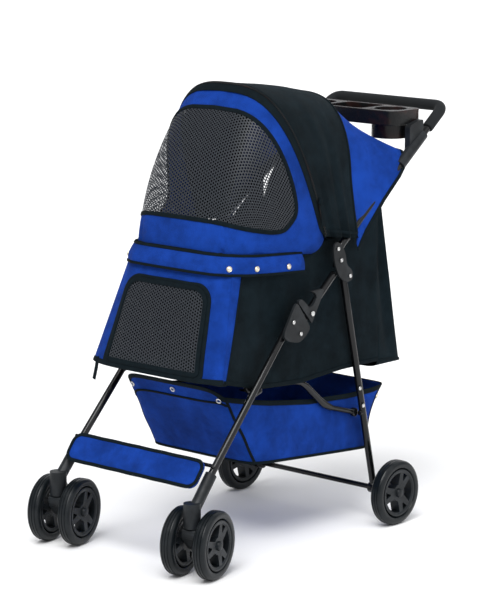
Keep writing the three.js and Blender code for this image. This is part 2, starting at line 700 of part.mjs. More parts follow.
// ---------- basket ----------
const basketFrontTop = [-226, 286];
const basketFrontLow = [-150, 126];
const basketBackLow = [246, 92];
const basketBackKnee = [243, 165];
const basketBackTop = [296, 237];

// The basket's corners, or those of its hollow, which lies inside the walls and runs up out of the mouth.
function basketCorners(inset, mouthLift) {
  const half = basketHalf - inset;
  return sides.flatMap(({ s }) => [
    [s * half, basketFrontTop[0] + inset, basketFrontTop[1] + mouthLift],
    [s * (half + 3), basketFrontLow[0] + inset, basketFrontLow[1] + inset],
    [s * (half + 3), basketBackLow[0] - inset, basketBackLow[1] + inset],
    [s * (half + 3), basketBackKnee[0] - inset, basketBackKnee[1]],
    [s * half, basketBackTop[0] - inset, basketBackTop[1] + mouthLift],
  ]);
}

function addBasket() {
  add('basket', cut(hull(basketCorners(0, 0)), hull(basketCorners(panelThickness, 36))), blueCloth);
}

// ---------- floor links ----------
function addFloorLink({ word, s }) {
  const x = s * linkHalf;
  const corners = [[x, ...linkFrontPivot], [x, 2, 288], [x, 76, 226], [x, 104, 211], [x, ...linkRearPivot]];
  const bar = bentRod(corners, linkRadius, 30, 10);
  const across = (at, reach, radius) => rod([x - reach, ...at], [x + reach, ...at], radius, 12);
  const eyes = [linkFrontPivot, linkRearPivot].map((at) => across(at, linkRadius, 10));
  const bores = [linkFrontPivot, linkRearPivot].map((at) => across(at, 20, linkPinRadius + gap));
  add(`floor_link_${word}`, cut(join(bar, ...eyes), ...bores), blackTube);
}

function addFloorBar() {
  const at = [-120, 296];
  const half = linkHalf - linkRadius - gap;
  add('floor_bar', rod([-half, ...at], [half, ...at], 5, 10), blackTube);
}

// ---------- rear frame ----------
const axleCoreRadius = 6; // the rear axle between the wheels
const rearLegHalf = (z) => rearLegFootHalf + ((rearLegTopHalf - rearLegFootHalf) * z) / legPivot[1];

function addRearLeg({ word, s }) {
  const top = [s * rearLegTopHalf, legPivot[0] - 3, legPivot[1] + 12];
  const bottom = [s * rearLegFootHalf, rearAxle[0], rearAxle[1]];
  const tube = rod(bottom, top, tubeRadius, 14);
  const legAtPivot = along(bottom, top, linkRearPivot[1] / top[2]);
  const pivot = [s * rearLegHalf(linkRearPivot[1]), ...linkRearPivot];
  const lug = rod(legAtPivot, pivot, 6, 10);
  const across = (half, at, inner, outer, radius, segments) => (
    rod([s * (half - inner), ...at], [s * (half + outer), ...at], radius, segments)
  );
  const bore = across(rearLegTopHalf, legPivot, 30, 30, pinRadius + gap, 10);
  const cuff = across(rearLegFootHalf, rearAxle, 11, 13, 13, 16);
  const axleBore = across(rearLegFootHalf, rearAxle, 40, 60, axleCoreRadius + gap, 12);
  add(`rear_leg_${word}`, cut(join(tube, lug, cuff), bore, axleBore), blackTube);
}

function addRearAxle() {
  const coreHalf = rearLegFootHalf + 14;
  const core = rod([-coreHalf, ...rearAxle], [coreHalf, ...rearAxle], axleCoreRadius, 12);
  const reach = rearWheelHalf + hubWidth / 2 + axleEnd;
  const ends = rod([-reach, ...rearAxle], [reach, ...rearAxle], axleRadius, 12);
  add('rear_axle', join(core, ends), blackTube);
}

// The brake's foot pedal swings on the axle between the leg and the wheel.
function addBrakePedal({ word, s }) {
  const [y, z] = rearAxle;
  const outline = roundedOutline([[y, z - 14], [y + 12, z - 10], [y + 80, z + 30], [y + 84, z + 40],
    [y + 72, z + 42], [y, z + 15], [y - 14, z + 8], [y - 12, z - 8]], 7);
  const footPad = roundedOutline([[y + 50, z + 20], [y + 82, z + 36], [y + 78, z + 44], [y + 46, z + 28]], 3);
  const inner = rearLegFootHalf + 16;
  const arm = plateOn(s, outline, inner, inner + 14);
  const pad = plateOn(s, footPad, inner, inner + 26);
  const bore = rod([s * (inner - 10), y, z], [s * (inner + 50), y, z], axleCoreRadius + gap, 12);
  add(`brake_pedal_${word}`, cut(join(arm, pad), bore), blackPlastic);
}

// ---------- assembly ----------
for (const side of sides) {
  addFrontLeg(side);
  addCasterSocket(side);
  addCaster(side);
  addKneeShell(side);
  addUpperTube(side);
  addKneeLever(side);
  addLeverPin(side);
  addSideBracket(side);
  addTrayClamp(side);
  addCabinSide(side);
  addFloorLink(side);
  addRearLeg(side);
  addBrakePedal(side);
  addWheel(`rear_${side.word}`, root, side.s * rearWheelHalf, ...rearAxle);
}
addFootrest();
addHandle();
addGrip();
addTray();
addRimWire();
addHoop('cover_hoop', shifted(frontArch, -1, 0), clothThickness + wireRadius + 4);
addHoop('canopy_bow', shifted(rearArch, -12, 0), clothThickness + wireRadius + 7);
hoodSection('hood_front', rimArch, shifted(frontArch, -4, 0), 26, blueCloth);
hoodSection('hood_middle', shifted(frontArch, 4, 0), shifted(rearArch, -2, 0), 6, blackCloth);
hoodSection('hood_rear', shifted(rearArch, 2, 0), rearEdge, 0, blueCloth, 24);
addCabinFront();
addCabinBack();
addFloorBoard();
addRearPocket();
addBasket();
addFloorBar();
addRearAxle();

export default root;
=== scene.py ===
"""A folding pet stroller: cloth hood and cabin, net windows, basket, frame, wheels and tray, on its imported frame."""

import math

import bmesh
import bpy
import numpy as np
from bpy.props import FloatProperty, FloatVectorProperty, IntProperty, PointerProperty
from mathutils import Matrix, Vector


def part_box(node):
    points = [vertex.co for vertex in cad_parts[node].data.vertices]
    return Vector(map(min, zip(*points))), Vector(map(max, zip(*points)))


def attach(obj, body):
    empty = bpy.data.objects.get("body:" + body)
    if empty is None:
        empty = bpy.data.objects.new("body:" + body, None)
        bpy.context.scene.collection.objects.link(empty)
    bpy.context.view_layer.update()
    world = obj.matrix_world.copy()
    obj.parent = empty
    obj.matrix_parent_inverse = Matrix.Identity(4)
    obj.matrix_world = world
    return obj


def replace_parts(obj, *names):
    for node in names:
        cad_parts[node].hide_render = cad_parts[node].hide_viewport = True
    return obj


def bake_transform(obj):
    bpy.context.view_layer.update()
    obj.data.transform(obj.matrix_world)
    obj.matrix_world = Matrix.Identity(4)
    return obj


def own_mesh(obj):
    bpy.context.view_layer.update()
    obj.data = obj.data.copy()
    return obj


bl_info = {
    "name": "Pet stroller",
    "version": (1, 0, 0),
    "blender": (4, 5, 0),
    "location": "View3D > Sidebar > Stroller",
    "description": "Builds the looks of a folding pet stroller around its packed frame",
    "category": "Object",
}

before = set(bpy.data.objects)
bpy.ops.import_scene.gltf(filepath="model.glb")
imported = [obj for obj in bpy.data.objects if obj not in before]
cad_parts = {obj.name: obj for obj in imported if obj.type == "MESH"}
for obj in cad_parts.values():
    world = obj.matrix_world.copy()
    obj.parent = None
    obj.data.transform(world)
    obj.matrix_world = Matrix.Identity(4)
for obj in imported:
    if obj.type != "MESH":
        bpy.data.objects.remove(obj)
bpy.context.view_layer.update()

# ---------- places ----------
# Places are (x, y, z) in metres: x from the middle plane, y from a line REAR_AXLE_Y ahead of the rear axle, z from
# the height of the axles. ORIGIN turns them into the frame's own coordinates, whose heights count from the floor.
WHEEL_LOW, WHEEL_HIGH = (np.array(corner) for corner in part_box("rear_left_tyre"))
WHEEL_RADIUS = float(WHEEL_HIGH[2] - WHEEL_LOW[2]) / 2
REAR_AXLE_Y = 0.250
ORIGIN = np.array([0.0, float(WHEEL_LOW[1] + WHEEL_HIGH[1]) / 2 - REAR_AXLE_Y, WHEEL_RADIUS])
TUBE = 0.008
UPPER_TUBE = 0.0085
KNEE_HALF = 0.192
LEG_FOOT_HALF = 0.203
HANDLE_HALF = 0.163
ARM_START = (0.088, 0.582)
ARM_END = (0.499, 0.866)
HOOD_MIDDLE = np.array([0.0, 0.060, 0.640])
SIDES = (("left", 1), ("right", -1))
STRIP_FACTOR = 1.2  # widens a strip border's mean width; a rough guess, measured from nothing


# ---------- settings ----------
class StrollerSizes(bpy.types.PropertyGroup):
    """Sizes of the soft goods and trim."""

    cloth: FloatProperty(name="Cloth", description="Thickness of the cloth", default=0.0012, unit="LENGTH")
    piping: FloatProperty(name="Piping", description="Half width of the edge binding", default=0.0042, unit="LENGTH")
    hood_bulge: FloatProperty(name="Hood bulge", description="How far the hood's front swells out",
                              default=0.026, unit="LENGTH")
    fold_depth: FloatProperty(name="Fold depth", description="Depth of the soft folds in the cloth",
                              default=0.0030, unit="LENGTH")
    net_pitch: FloatProperty(name="Net pitch", description="Distance between the net's holes",
                             default=0.0062, unit="LENGTH")
    around: IntProperty(name="Segments", description="Segments around a wheel", default=96)


class StrollerColours(bpy.types.PropertyGroup):
    """Colours of the finishes."""

    blue: FloatVectorProperty(name="Blue cloth", description="Colour of the blue cloth", subtype="COLOR",
                              default=(0.0060, 0.036, 0.230))
    black: FloatVectorProperty(name="Black cloth", description="Colour of the black cloth", subtype="COLOR",
                               default=(0.0042, 0.0080, 0.0105))
    tube: FloatVectorProperty(name="Tube paint", description="Colour of the frame's paint", subtype="COLOR",
                              default=(0.0032, 0.0036, 0.0042))
    plastic: FloatVectorProperty(name="Plastic", description="Colour of the moulded plastic", subtype="COLOR",
                                 default=(0.0080, 0.0095, 0.0110))


def sizes():
    """The sizes set in the panel."""
    return bpy.context.scene.stroller_sizes


def colours():
    """The colours set in the panel."""
    return bpy.context.scene.stroller_colours


# ---------- shader tools ----------
class Wire:
    """A value in a shader. Arithmetic on wires adds Math nodes."""

    def __init__(self, board, socket):
        self.board = board
        self.socket = socket

    def _math(self, operation, *terms):
        return self.board.node("ShaderNodeMath", {"operation": operation}, dict(enumerate(terms)))

    def __add__(self, other):
        return self._math("ADD", self, other)

    def __radd__(self, other):
        return self._math("ADD", other, self)

    def __sub__(self, other):
        return self._math("SUBTRACT", self, other)

    def __rsub__(self, other):
        return self._math("SUBTRACT", other, self)

    def __mul__(self, other):
        return self._math("MULTIPLY", self, other)

    def __rmul__(self, other):
        return self._math("MULTIPLY", other, self)

    def sine(self):
        return self._math("SINE", self)

    def step(self, low, high):
        """Runs smoothly from 0 at low to 1 at high."""
        return self.board.node("ShaderNodeMapRange", {"interpolation_type": "SMOOTHSTEP"},
                               {"Value": self, "From Min": low, "From Max": high})


class Board:
    """One material: its node tree, and its main shader with constants set on the shader's own sockets."""

    def __init__(self, name, **constants):
        self.material = bpy.data.materials.new(name)
        self.material.use_nodes = True
        self.tree = self.material.node_tree
        self.shader = self.tree.nodes["Principled BSDF"]
        for key, value in constants.items():
            socket = self.shader.inputs[key.replace("_", " ")]
            socket.default_value = (*value, 1.0) if isinstance(value, tuple) else value

    def node(self, kind, settings=None, inputs=None, output=0):
        node = self.tree.nodes.new(kind)
        for key, value in (settings or {}).items():
            setattr(node, key, value)
        for key, value in (inputs or {}).items():
            if isinstance(value, Wire):
                self.tree.links.new(value.socket, node.inputs[key])
            else:
                node.inputs[key].default_value = value
        return Wire(self, node.outputs[output])

    def coordinates(self, which="UV"):
        return self.node("ShaderNodeTexCoord", output=which)

    def split(self, vector):
        return [self.node("ShaderNodeSeparateXYZ", None, {0: vector}, output=k) for k in range(3)]

    def noise(self, vector, scale, detail=3.0, roughness=0.55):
        return self.node("ShaderNodeTexNoise", None,
                         {"Vector": vector, "Scale": scale, "Detail": detail, "Roughness": roughness})

    def mix(self, share, first, second):
        def colour(value):
            return value if isinstance(value, Wire) else (*value, 1.0)
        return self.node("ShaderNodeMix", {"data_type": "RGBA"},
                         {0: share, 6: colour(first), 7: colour(second)}, output=2)

    def feed(self, name, wire):
        self.tree.links.new(wire.socket, self.shader.inputs[name])

    def bump(self, height, distance, strength=1.0):
        self.feed("Normal", self.node("ShaderNodeBump", None,
                                      {"Height": height, "Distance": distance, "Strength": strength}))


def scaled(colour, factor):
    """A colour made lighter or darker by a factor."""
    return tuple(min(1.0, channel * factor) for channel in colour)


def cloth_material(name, colour, pale=1.45, dark=0.6):
    """Plain-woven polyester: crossing threads, a slow drift of tone, soft creases and a little lint."""
    board = Board(name, Roughness=0.8, Sheen_Weight=0.008, Sheen_Roughness=0.5, Specular_IOR_Level=0.04)
    uv = board.coordinates("UV")
    along, across, _ = board.split(uv)
    thread = 2 * math.pi / 0.0011
    weave = (along * thread).sine() * (across * thread).sine()
    body = board.coordinates("Object")
    drift = board.noise(body, 9.0, 4.0)
    crease = board.noise(body, 38.0, 5.0, 0.62)
    speck = board.noise(uv, 900.0, 2.0)
    tone = (drift * 0.5 + crease * 0.3 + weave * 0.10 + speck * 0.2).step(0.32, 0.68)
    board.feed("Base Color", board.mix(tone, scaled(colour, dark), scaled(colour, pale)))
    board.feed("Roughness", 0.70 + speck * 0.2)
    board.bump(crease * 0.55 + drift * 0.6 + weave * 0.05 + speck * 0.06, 0.004, 0.55)
    return board.material


def net_material(name, pitch):
    """Knitted net: rounded holes on a honeycomb, from three waves that cross at 60 degrees."""
    board = Board(name, Specular_IOR_Level=0.22)
    along, across, _ = board.split(board.coordinates("UV"))
    turn = 2 * math.pi / pitch
    quarter = math.pi / 2
    waves = ((along * turn + quarter).sine() + ((along * 0.5 + across * 0.866) * turn + quarter).sine()
             + ((along * 0.5 - across * 0.866) * turn + quarter).sine())
    holes = waves.step(-0.15, 0.75)
    # The holes keep a near-black film, 14 % opaque and darker than the strands: painted shade of the dark inside seen
    # through the net.
    board.feed("Base Color", board.mix(holes, (0.024, 0.028, 0.034), (0.003, 0.004, 0.005)))
    board.feed("Alpha", 1.0 - holes * 0.86)
    board.feed("Roughness", 0.42 + holes * 0.3)
    board.bump(1.0 - holes, 0.0006, 0.6)
    board.material.surface_render_method = "DITHERED"
    return board.material


def tube_material(name, colour):
    """Gloss powder coat with faint orange peel and small scuffs."""
    board = Board(name, Base_Color=colour, Specular_IOR_Level=0.22, Coat_Weight=0.16, Coat_Roughness=0.06)
    place = board.coordinates("Object")
    peel = board.noise(place, 420.0, 2.0)
    scuff = board.noise(place, 60.0, 6.0, 0.7).step(0.58, 0.75)
    board.feed("Base Color", board.mix(scuff, colour, scaled(colour, 2.4)))
    board.feed("Roughness", 0.18 + scuff * 0.25)
    board.bump(peel, 0.0004, 0.25)
    return board.material


def plastic_material(name, colour, roughness=0.42, tint=None):
    """Moulded plastic: fine spark grain and rubbed patches that are a little lighter and shinier."""
    board = Board(name, Base_Color=colour, Specular_IOR_Level=0.2)
    place = board.coordinates("Object")
    grain = board.noise(place, 1500.0, 2.0)
    rub = board.noise(place, 22.0, 4.0).step(0.42, 0.66)
    base = board.mix(rub, colour, tint or scaled(colour, 1.8))
    board.feed("Base Color", base)
    board.feed("Roughness", roughness + grain * 0.12 - rub * 0.10)
    board.bump(grain, 0.0005, 0.35)
    return board.material


def tyre_material(name):
    """Smooth rubbery tyre with a faint bloom and fine moulding lines."""
    board = Board(name, Specular_IOR_Level=0.2, Coat_Weight=0.08, Coat_Roughness=0.15)
    place = board.coordinates("Object")
    bloom = board.noise(place, 30.0, 4.0).step(0.4, 0.7)
    grain = board.noise(place, 800.0, 2.0)
    board.feed("Base Color", board.mix(bloom, (0.0035, 0.0055, 0.0070), (0.0090, 0.0115, 0.0135)))
    board.feed("Roughness", 0.30 + bloom * 0.16)
    board.bump(grain, 0.0005, 0.3)
    return board.material


def foam_material(name):
    """Closed-cell foam: tiny open cells and a soft grey bloom."""
    board = Board(name, Specular_IOR_Level=0.2, Sheen_Weight=0.04)
    place = board.coordinates("Object")
    cells = board.noise(place, 520.0, 3.0, 0.7)
    wear = board.noise(place, 25.0, 4.0)
    board.feed("Base Color", board.mix(cells * 0.6 + wear * 0.4, (0.004, 0.005, 0.006), (0.017, 0.019, 0.021)))
    board.feed("Roughness", 0.82 + cells * 0.15)
    board.bump(cells, 0.0009, 0.7)
    return board.material


def metal_material(name, colour, roughness):
    """Plated metal with fine brushing and a few dull spots."""
    board = Board(name, Metallic=1.0)
    place = board.coordinates("Object")
    dull = board.noise(place, 240.0, 4.0)
    board.feed("Base Color", board.mix(dull.step(0.4, 0.7), colour, scaled(colour, 0.72)))
    board.feed("Roughness", roughness + dull * 0.16)
    board.bump(dull, 0.0002, 0.3)
    return board.material


def tape_material(name, colour):
    """Ribbed webbing and zip tape: cross ribs along the strip."""
    board = Board(name, Specular_IOR_Level=0.05)
    along, _, _ = board.split(board.coordinates("UV"))
    ribs = (along * (2 * math.pi / 0.0016)).sine()
    wear = board.noise(board.coordinates("Object"), 70.0, 4.0)
    board.feed("Base Color", board.mix(wear + ribs * 0.12, scaled(colour, 0.5), scaled(colour, 1.5)))
    board.feed("Roughness", 0.66 + wear * 0.2)
    board.bump(ribs * 0.4 + wear * 0.4, 0.0006, 0.5)
    return board.material


def floor_material(name):
    """A pale studio floor with the faintest mottle."""
    board = Board(name, Specular_IOR_Level=0.2)
    mottle = board.noise(board.coordinates("Object"), 3.0, 4.0)
    board.feed("Base Color", board.mix(mottle, (0.86, 0.86, 0.86), (0.90, 0.90, 0.90)))
    board.feed("Roughness", 0.75 + mottle * 0.1)
    board.bump(mottle, 0.0005, 0.1)
    return board.material


FINISHES = {}


def finish(slot):
    """The material of one slot, made once."""
    if slot not in FINISHES:
        tint = colours()
        makers = {
            "blue_cloth": lambda: cloth_material("blue_cloth", tuple(tint.blue)),
            "black_cloth": lambda: cloth_material("black_cloth", tuple(tint.black), 1.9, 0.6),
            "net": lambda: net_material("net", sizes().net_pitch),
            "black_tube": lambda: tube_material("black_tube", tuple(tint.tube)),
            "black_plastic": lambda: plastic_material("black_plastic", tuple(tint.plastic)),
            "tray_plastic": lambda: plastic_material("tray_plastic", (0.006, 0.0065, 0.007), 0.20,
                                                     (0.020, 0.009, 0.008)),
            "hub_plastic": lambda: plastic_material("hub_plastic", (0.0075, 0.0095, 0.0115), 0.34),
            "tyre": lambda: tyre_material("tyre"),
            "foam": lambda: foam_material("foam"),
            "steel": lambda: metal_material("steel", (0.62, 0.62, 0.61), 0.20),
            "snap": lambda: metal_material("snap", (0.83, 0.76, 0.60), 0.30),
            "tape": lambda: tape_material("tape", tuple(tint.black)),
            "floor": lambda: floor_material("floor"),
        }
        FINISHES[slot] = makers[slot]()
    return FINISHES[slot]


# ---------- mesh tools ----------
def placed(name, data):
    """A new object in the scene that holds a mesh, a light or a camera."""
    made = bpy.data.objects.new(name, data)
    bpy.context.scene.collection.objects.link(made)
    return made


def plain_faces(faces):
    """Faces as plain lists, whether they come as an array or as lists."""
    return faces.tolist() if isinstance(faces, np.ndarray) else faces


def signed_power(values, power):
    """A power that keeps the sign, which squares off a cosine or a sine."""
    return np.sign(values) * np.abs(values) ** power


def run_along(path):
    """The length run along a path at each of its points."""
    return np.concatenate([[0], np.cumsum(np.linalg.norm(np.diff(path, axis=0), axis=1))])


def grid_faces(rows, columns, wrap_rows=False, wrap_columns=False, start=0):
    """Quads between the points of a grid; a wrapped direction joins its last line to its first."""
    i, j = np.meshgrid(np.arange(rows - (not wrap_rows)), np.arange(columns - (not wrap_columns)), indexing="ij")
    below, beside = (i + 1) % rows, (j + 1) % columns
    corners = [i * columns + j, below * columns + j, below * columns + beside, i * columns + beside]
    return np.stack([corner.ravel() for corner in corners], axis=1) + start


def grid_uv(points):
    """Lengths along both directions of a grid, in metres, so that a weave keeps its scale."""
    down = np.zeros(points.shape[:2])
    down[1:] = np.cumsum(np.linalg.norm(np.diff(points, axis=0), axis=2), axis=0)
    right = np.zeros(points.shape[:2])
    right[:, 1:] = np.cumsum(np.linalg.norm(np.diff(points, axis=1), axis=2), axis=1)
    return np.stack([down.mean(axis=1, keepdims=True) + 0 * down, right], axis=2)


def piece(name, vertices, faces, uv, slot, body, material=None, shift=True, weld=True, outside=None):
    """Makes one mesh piece that rides on a body, takes its slot's finish and faces away from a point inside it."""
    mesh = bpy.data.meshes.new(name)
    mesh.from_pydata((vertices + (ORIGIN if shift else 0)).tolist(), [], plain_faces(faces))
    layer = mesh.uv_layers.new(name="UVMap")
    corner = np.empty(len(mesh.loops), dtype=np.int32)
    mesh.loops.foreach_get("vertex_index", corner)
    layer.data.foreach_set("uv", np.ascontiguousarray(uv[corner], dtype=np.float32).ravel())
    shape = bmesh.new()
    shape.from_mesh(mesh)
    if weld:
        bmesh.ops.remove_doubles(shape, verts=shape.verts, dist=1e-6)
    bmesh.ops.recalc_face_normals(shape, faces=shape.faces)
    if outside is not None:
        away = sum(face.normal.dot(face.calc_center_median() - Vector(outside + ORIGIN)) * face.calc_area()
                   for face in shape.faces)
        if away < 0:
            bmesh.ops.reverse_faces(shape, faces=shape.faces)
    shape.to_mesh(mesh)
    shape.free()
    mesh.shade_smooth()
    mesh.set_sharp_from_angle(angle=math.radians(42))
    mesh.materials.append(finish(material or slot))
    made = placed(name, mesh)
    if body:
        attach(made, body)
    return made


def sheet(name, points, slot, body, wrap=False, thickness=None, material=None, outside=None, uv=None):
    """A cloth surface over a grid of points, given its thickness inwards."""
    uv = grid_uv(points) if uv is None else uv
    faces = grid_faces(*points.shape[:2], wrap_rows=wrap)
    made = piece(name, points.reshape(-1, 3), faces, uv.reshape(-1, 2), slot, body, material,
                 outside=HOOD_MIDDLE if outside is None else np.array(outside))
    solid = made.modifiers.new("cloth", "SOLIDIFY")
    solid.thickness = sizes().cloth if thickness is None else thickness
    solid.offset = -1.0
    solid.use_even_offset = False
    return made


def cut(points, strips=False):
    """Works out a free sheet's flat width and length, the longest runs over the points, and keeps neither. A border
    sewn from strips has the mean way round and the mean width times STRIP_FACTOR instead."""
    width = np.linalg.norm(np.diff(points, axis=0), axis=2).sum(axis=0)
    length = np.linalg.norm(np.diff(points, axis=1), axis=2).sum(axis=1)
    width, length = (width.mean(), length.mean() * STRIP_FACTOR) if strips else (width.max(), length.max())


def unit(vectors):
    """Vectors made one long."""
    return vectors / np.maximum(np.linalg.norm(vectors, axis=-1, keepdims=True), 1e-9)


def swept(path, up, half_width, half_height, sides=14, closed=False, power=2.0):
    """Carries a rounded section along a path: centre + width x side x cos + height x up x sin, both to a power.
    The side is across both the path's heading and the up vector. Returns vertices, faces and UVs."""
    path = np.asarray(path, dtype=float)
    if closed:
        heading = unit(np.roll(path, -1, axis=0) - np.roll(path, 1, axis=0))
    else:
        heading = unit(np.gradient(path, axis=0))
    up = np.broadcast_to(np.asarray(up, dtype=float), path.shape)
    up = unit(up - heading * np.sum(up * heading, axis=1, keepdims=True))
    side = np.cross(heading, up)
    turn = np.linspace(0, 2 * math.pi, sides, endpoint=False)
    cosine, sine = (signed_power(wave(turn), 2 / power) for wave in (np.cos, np.sin))
    width = np.broadcast_to(half_width, len(path))[:, None, None]
    height = np.broadcast_to(half_height, len(path))[:, None, None]
    ring = (path[:, None] + width * side[:, None] * cosine[None, :, None]
            + height * up[:, None] * sine[None, :, None])
    run = run_along(path)
    reach = float(np.mean(half_width))
    uv = np.stack(np.broadcast_arrays(run[:, None], turn[None] * reach), axis=2).reshape(-1, 2)
    vertices = ring.reshape(-1, 3)
    faces = grid_faces(len(path), sides, wrap_rows=closed, wrap_columns=True)
    if closed:
        return vertices, faces, uv
    count = len(vertices)
    caps = []
    for end, base in ((0, 0), (-1, (len(path) - 1) * sides)):
        vertices = np.vstack([vertices, path[end]])
        uv = np.vstack([uv, [run[end], 0.0]])
        around = base + np.arange(sides)
        centre = np.full(sides, count + len(caps))
        caps.append(np.stack([around, np.roll(around, -1), centre, centre], axis=1))
    return vertices, [*faces.tolist(), *[row[:3] for cap in caps for row in cap.tolist()]], uv


def joined(name, parts, slot, body, material=None):
    """Puts several swept parts into one piece."""
    vertices, faces, uvs, start = [], [], [], 0
    for points, quads, uv in parts:
        vertices.append(points)
        uvs.append(uv)
        faces.extend([[corner + start for corner in face] for face in plain_faces(quads)])
        start += len(points)
    return piece(name, np.vstack(vertices), faces, np.vstack(uvs), slot, body, material, weld=False)


def rounded_path(corners, radius, steps=10):
    """A route through corners, each replaced by a curve that starts and ends one radius away from it."""
    corners = np.asarray(corners, dtype=float)
    route = [corners[:1]]
    share = np.linspace(0, 1, steps)[:, None]
    for before, corner, after in zip(corners[:-2], corners[1:-1], corners[2:]):
        near = min(radius, 0.45 * np.linalg.norm(corner - before), 0.45 * np.linalg.norm(after - corner))
        start = corner + unit(before - corner) * near
        end = corner + unit(after - corner) * near
        route.append((1 - share) ** 2 * start + 2 * share * (1 - share) * corner + share ** 2 * end)
    route.append(corners[-1:])
    return np.vstack(route)


def rod(start, end, radius, sides=20, lip=0.18):
    """A straight round bar whose two ends are slightly rounded."""
    start, end = np.asarray(start, dtype=float), np.asarray(end, dtype=float)
    length = np.linalg.norm(end - start)
    edge = min(radius * lip / length, 0.2)
    shares = np.array([0, edge * 0.35, edge, 1 - edge, 1 - edge * 0.35, 1])
    radii = radius * np.array([1 - lip, 1 - lip * 0.3, 1, 1, 1 - lip * 0.3, 1 - lip])
    path = start + (end - start) * shares[:, None]
    up = (1, 0, 0) if abs(unit(end - start)[0]) < 0.7 else (0, 0, 1)
    return swept(path, up, radii, radii, sides)


def revolved(profile, centre, axis, segments):
    """Turns a closed profile of (along the axis, radius) points about an axis through a centre."""
    profile = np.asarray(profile, dtype=float)
    axis = unit(np.asarray(axis, dtype=float))
    first = unit(np.cross(axis, (0.0, 0.0, 1.0)))
    second = np.cross(axis, first)
    turn = np.linspace(0, 2 * math.pi, segments, endpoint=False)
    spin = first * np.cos(turn)[:, None] + second * np.sin(turn)[:, None]
    points = (np.asarray(centre) + axis * profile[None, :, :1] + spin[:, None] * profile[None, :, 1:])
    run = run_along(profile)
    uv = np.stack(np.broadcast_arrays(turn[:, None] * profile[:, 1].max(), run[None]), axis=2)
    faces = grid_faces(segments, len(profile), wrap_rows=True, wrap_columns=True)
    return points.reshape(-1, 3), faces, uv.reshape(-1, 2)


def smoothed(name, node, width, slot, body, material=None, limit=32):
    """A copy of a frame node with its flat faces whole again and its edges rounded."""
    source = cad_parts[node]
    mesh = source.data.copy()
    mesh.name = name
    shape = bmesh.new()
    shape.from_mesh(mesh)
    bmesh.ops.remove_doubles(shape, verts=shape.verts, dist=1e-6)
    bmesh.ops.dissolve_limit(shape, angle_limit=math.radians(1.5), verts=shape.verts, edges=shape.edges)
    bmesh.ops.recalc_face_normals(shape, faces=shape.faces)
    shape.to_mesh(mesh)
    shape.free()
    mesh.materials.clear()
    mesh.materials.append(finish(material or slot))
    mesh.shade_smooth()
    mesh.set_sharp_from_angle(angle=math.radians(limit + 8))
    made = placed(name, mesh)
    bevel = made.modifiers.new("edges", "BEVEL")
    bevel.width = width
    bevel.segments = 3
    bevel.limit_method = "ANGLE"
    bevel.angle_limit = math.radians(limit)
    bevel.harden_normals = True
    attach(made, body)
    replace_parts(made, node)
    return made


# ---------- the hood's shape ----------
def leaning_arch(share, half, foot, apex, power):
    """A rounded arch in a leaning plane: across = half x cos^(2/power), rise = sin^(2/power) from foot to apex."""
    turn = math.pi * (1 - share)
    rise = np.abs(np.sin(turn)) ** (2 / power)
    across = half * signed_power(np.cos(turn), 2 / power)
    foot, apex = np.asarray(foot), np.asarray(apex)
    back_and_up = foot + (apex - foot) * rise[..., None]
    return np.stack([across, back_and_up[..., 0], back_and_up[..., 1]], axis=-1), rise


def zip_arch(share):
    """The arch of the cover hoop, where the front and the middle of the hood zip together."""
    return leaning_arch(share, 0.1895, (0.044, 0.612), (-0.077, 0.945), 3.0)[0]


def seam_arch(share):
    """The arch of the canopy bow; near its feet it spreads to pass outside the handle's arms."""
    points, rise = leaning_arch(share, 0.174, (0.141, 0.600), (0.176, 0.912), 2.7)
    points[..., 0] += np.sign(points[..., 0]) * 0.029 * np.clip(1 - rise / 0.45, 0, 1) ** 1.5
    return points


def rim_line(share):
    """The cabin's rim: an arch laid flat whose sides close in towards the front."""
    points, rise = leaning_arch(share, 1.0, (0.014, 0.574), (-0.236, 0.593), 6.5)
    points[..., 0] *= 0.172 - (0.172 - 0.147) * rise ** 3
    return points


def rear_edge(share):
    """The hood's rear edge: up along the outside of each arm, then across in front of the tray."""
    place = 1 - np.abs(np.asarray(share) - 0.5) * 2
    stops = [0, 0.10, 0.26, 0.40, 0.50, 0.62, 0.80, 1.0]
    x = np.interp(place, stops, [0.203, 0.200, 0.195, 0.190, 0.181, 0.160, 0.080, 0.0])
    y = np.interp(place, stops, [0.141, 0.175, 0.245, 0.306, 0.340, 0.350, 0.355, 0.357])
    z = np.interp(place, stops, [0.573, 0.612, 0.676, 0.722, 0.748, 0.774, 0.781, 0.783])
    return np.stack([np.where(np.asarray(share) < 0.5, -x, x), y, z], axis=-1)


def between(first, second, bulge):
    """A surface stretched from one line to another, swelling away from the hood's middle in between."""
    def surface(share, depth):
        points = first(share) + (second(share) - first(share)) * depth[..., None]
        out = unit(points - HOOD_MIDDLE)
        lift = bulge * 4 * depth * (1 - depth) * np.sin(math.pi * (0.12 + 0.76 * share))
        return points + out * lift[..., None]
    return surface


def spread(rows, columns):
    """A grid of the two parameters of a surface, each from 0 to 1."""
    return np.meshgrid(np.linspace(0, 1, rows), np.linspace(0, 1, columns), indexing="ij")


def normals_of(surface, share, depth, inside=HOOD_MIDDLE):
    """Unit normals of a surface of two parameters, from its slopes, turned away from a point inside."""
    step = 1e-3
    along = surface(share + step, depth) - surface(share - step, depth)
    across = surface(share, depth + step) - surface(share, depth - step)
    normal = unit(np.cross(along, across))
    flip = np.sign(np.sum(normal * (surface(share, depth) - inside), axis=-1, keepdims=True))
    return normal * flip


def window_border(centre, half, power, count=220):
    """A rounded window's border in a surface's own two parameters."""
    turn = np.linspace(0, 2 * math.pi, count, endpoint=False)
    return tuple(middle + reach * signed_power(wave(turn), 2 / power)
                 for middle, reach, wave in zip(centre, half, (np.cos, np.sin)))


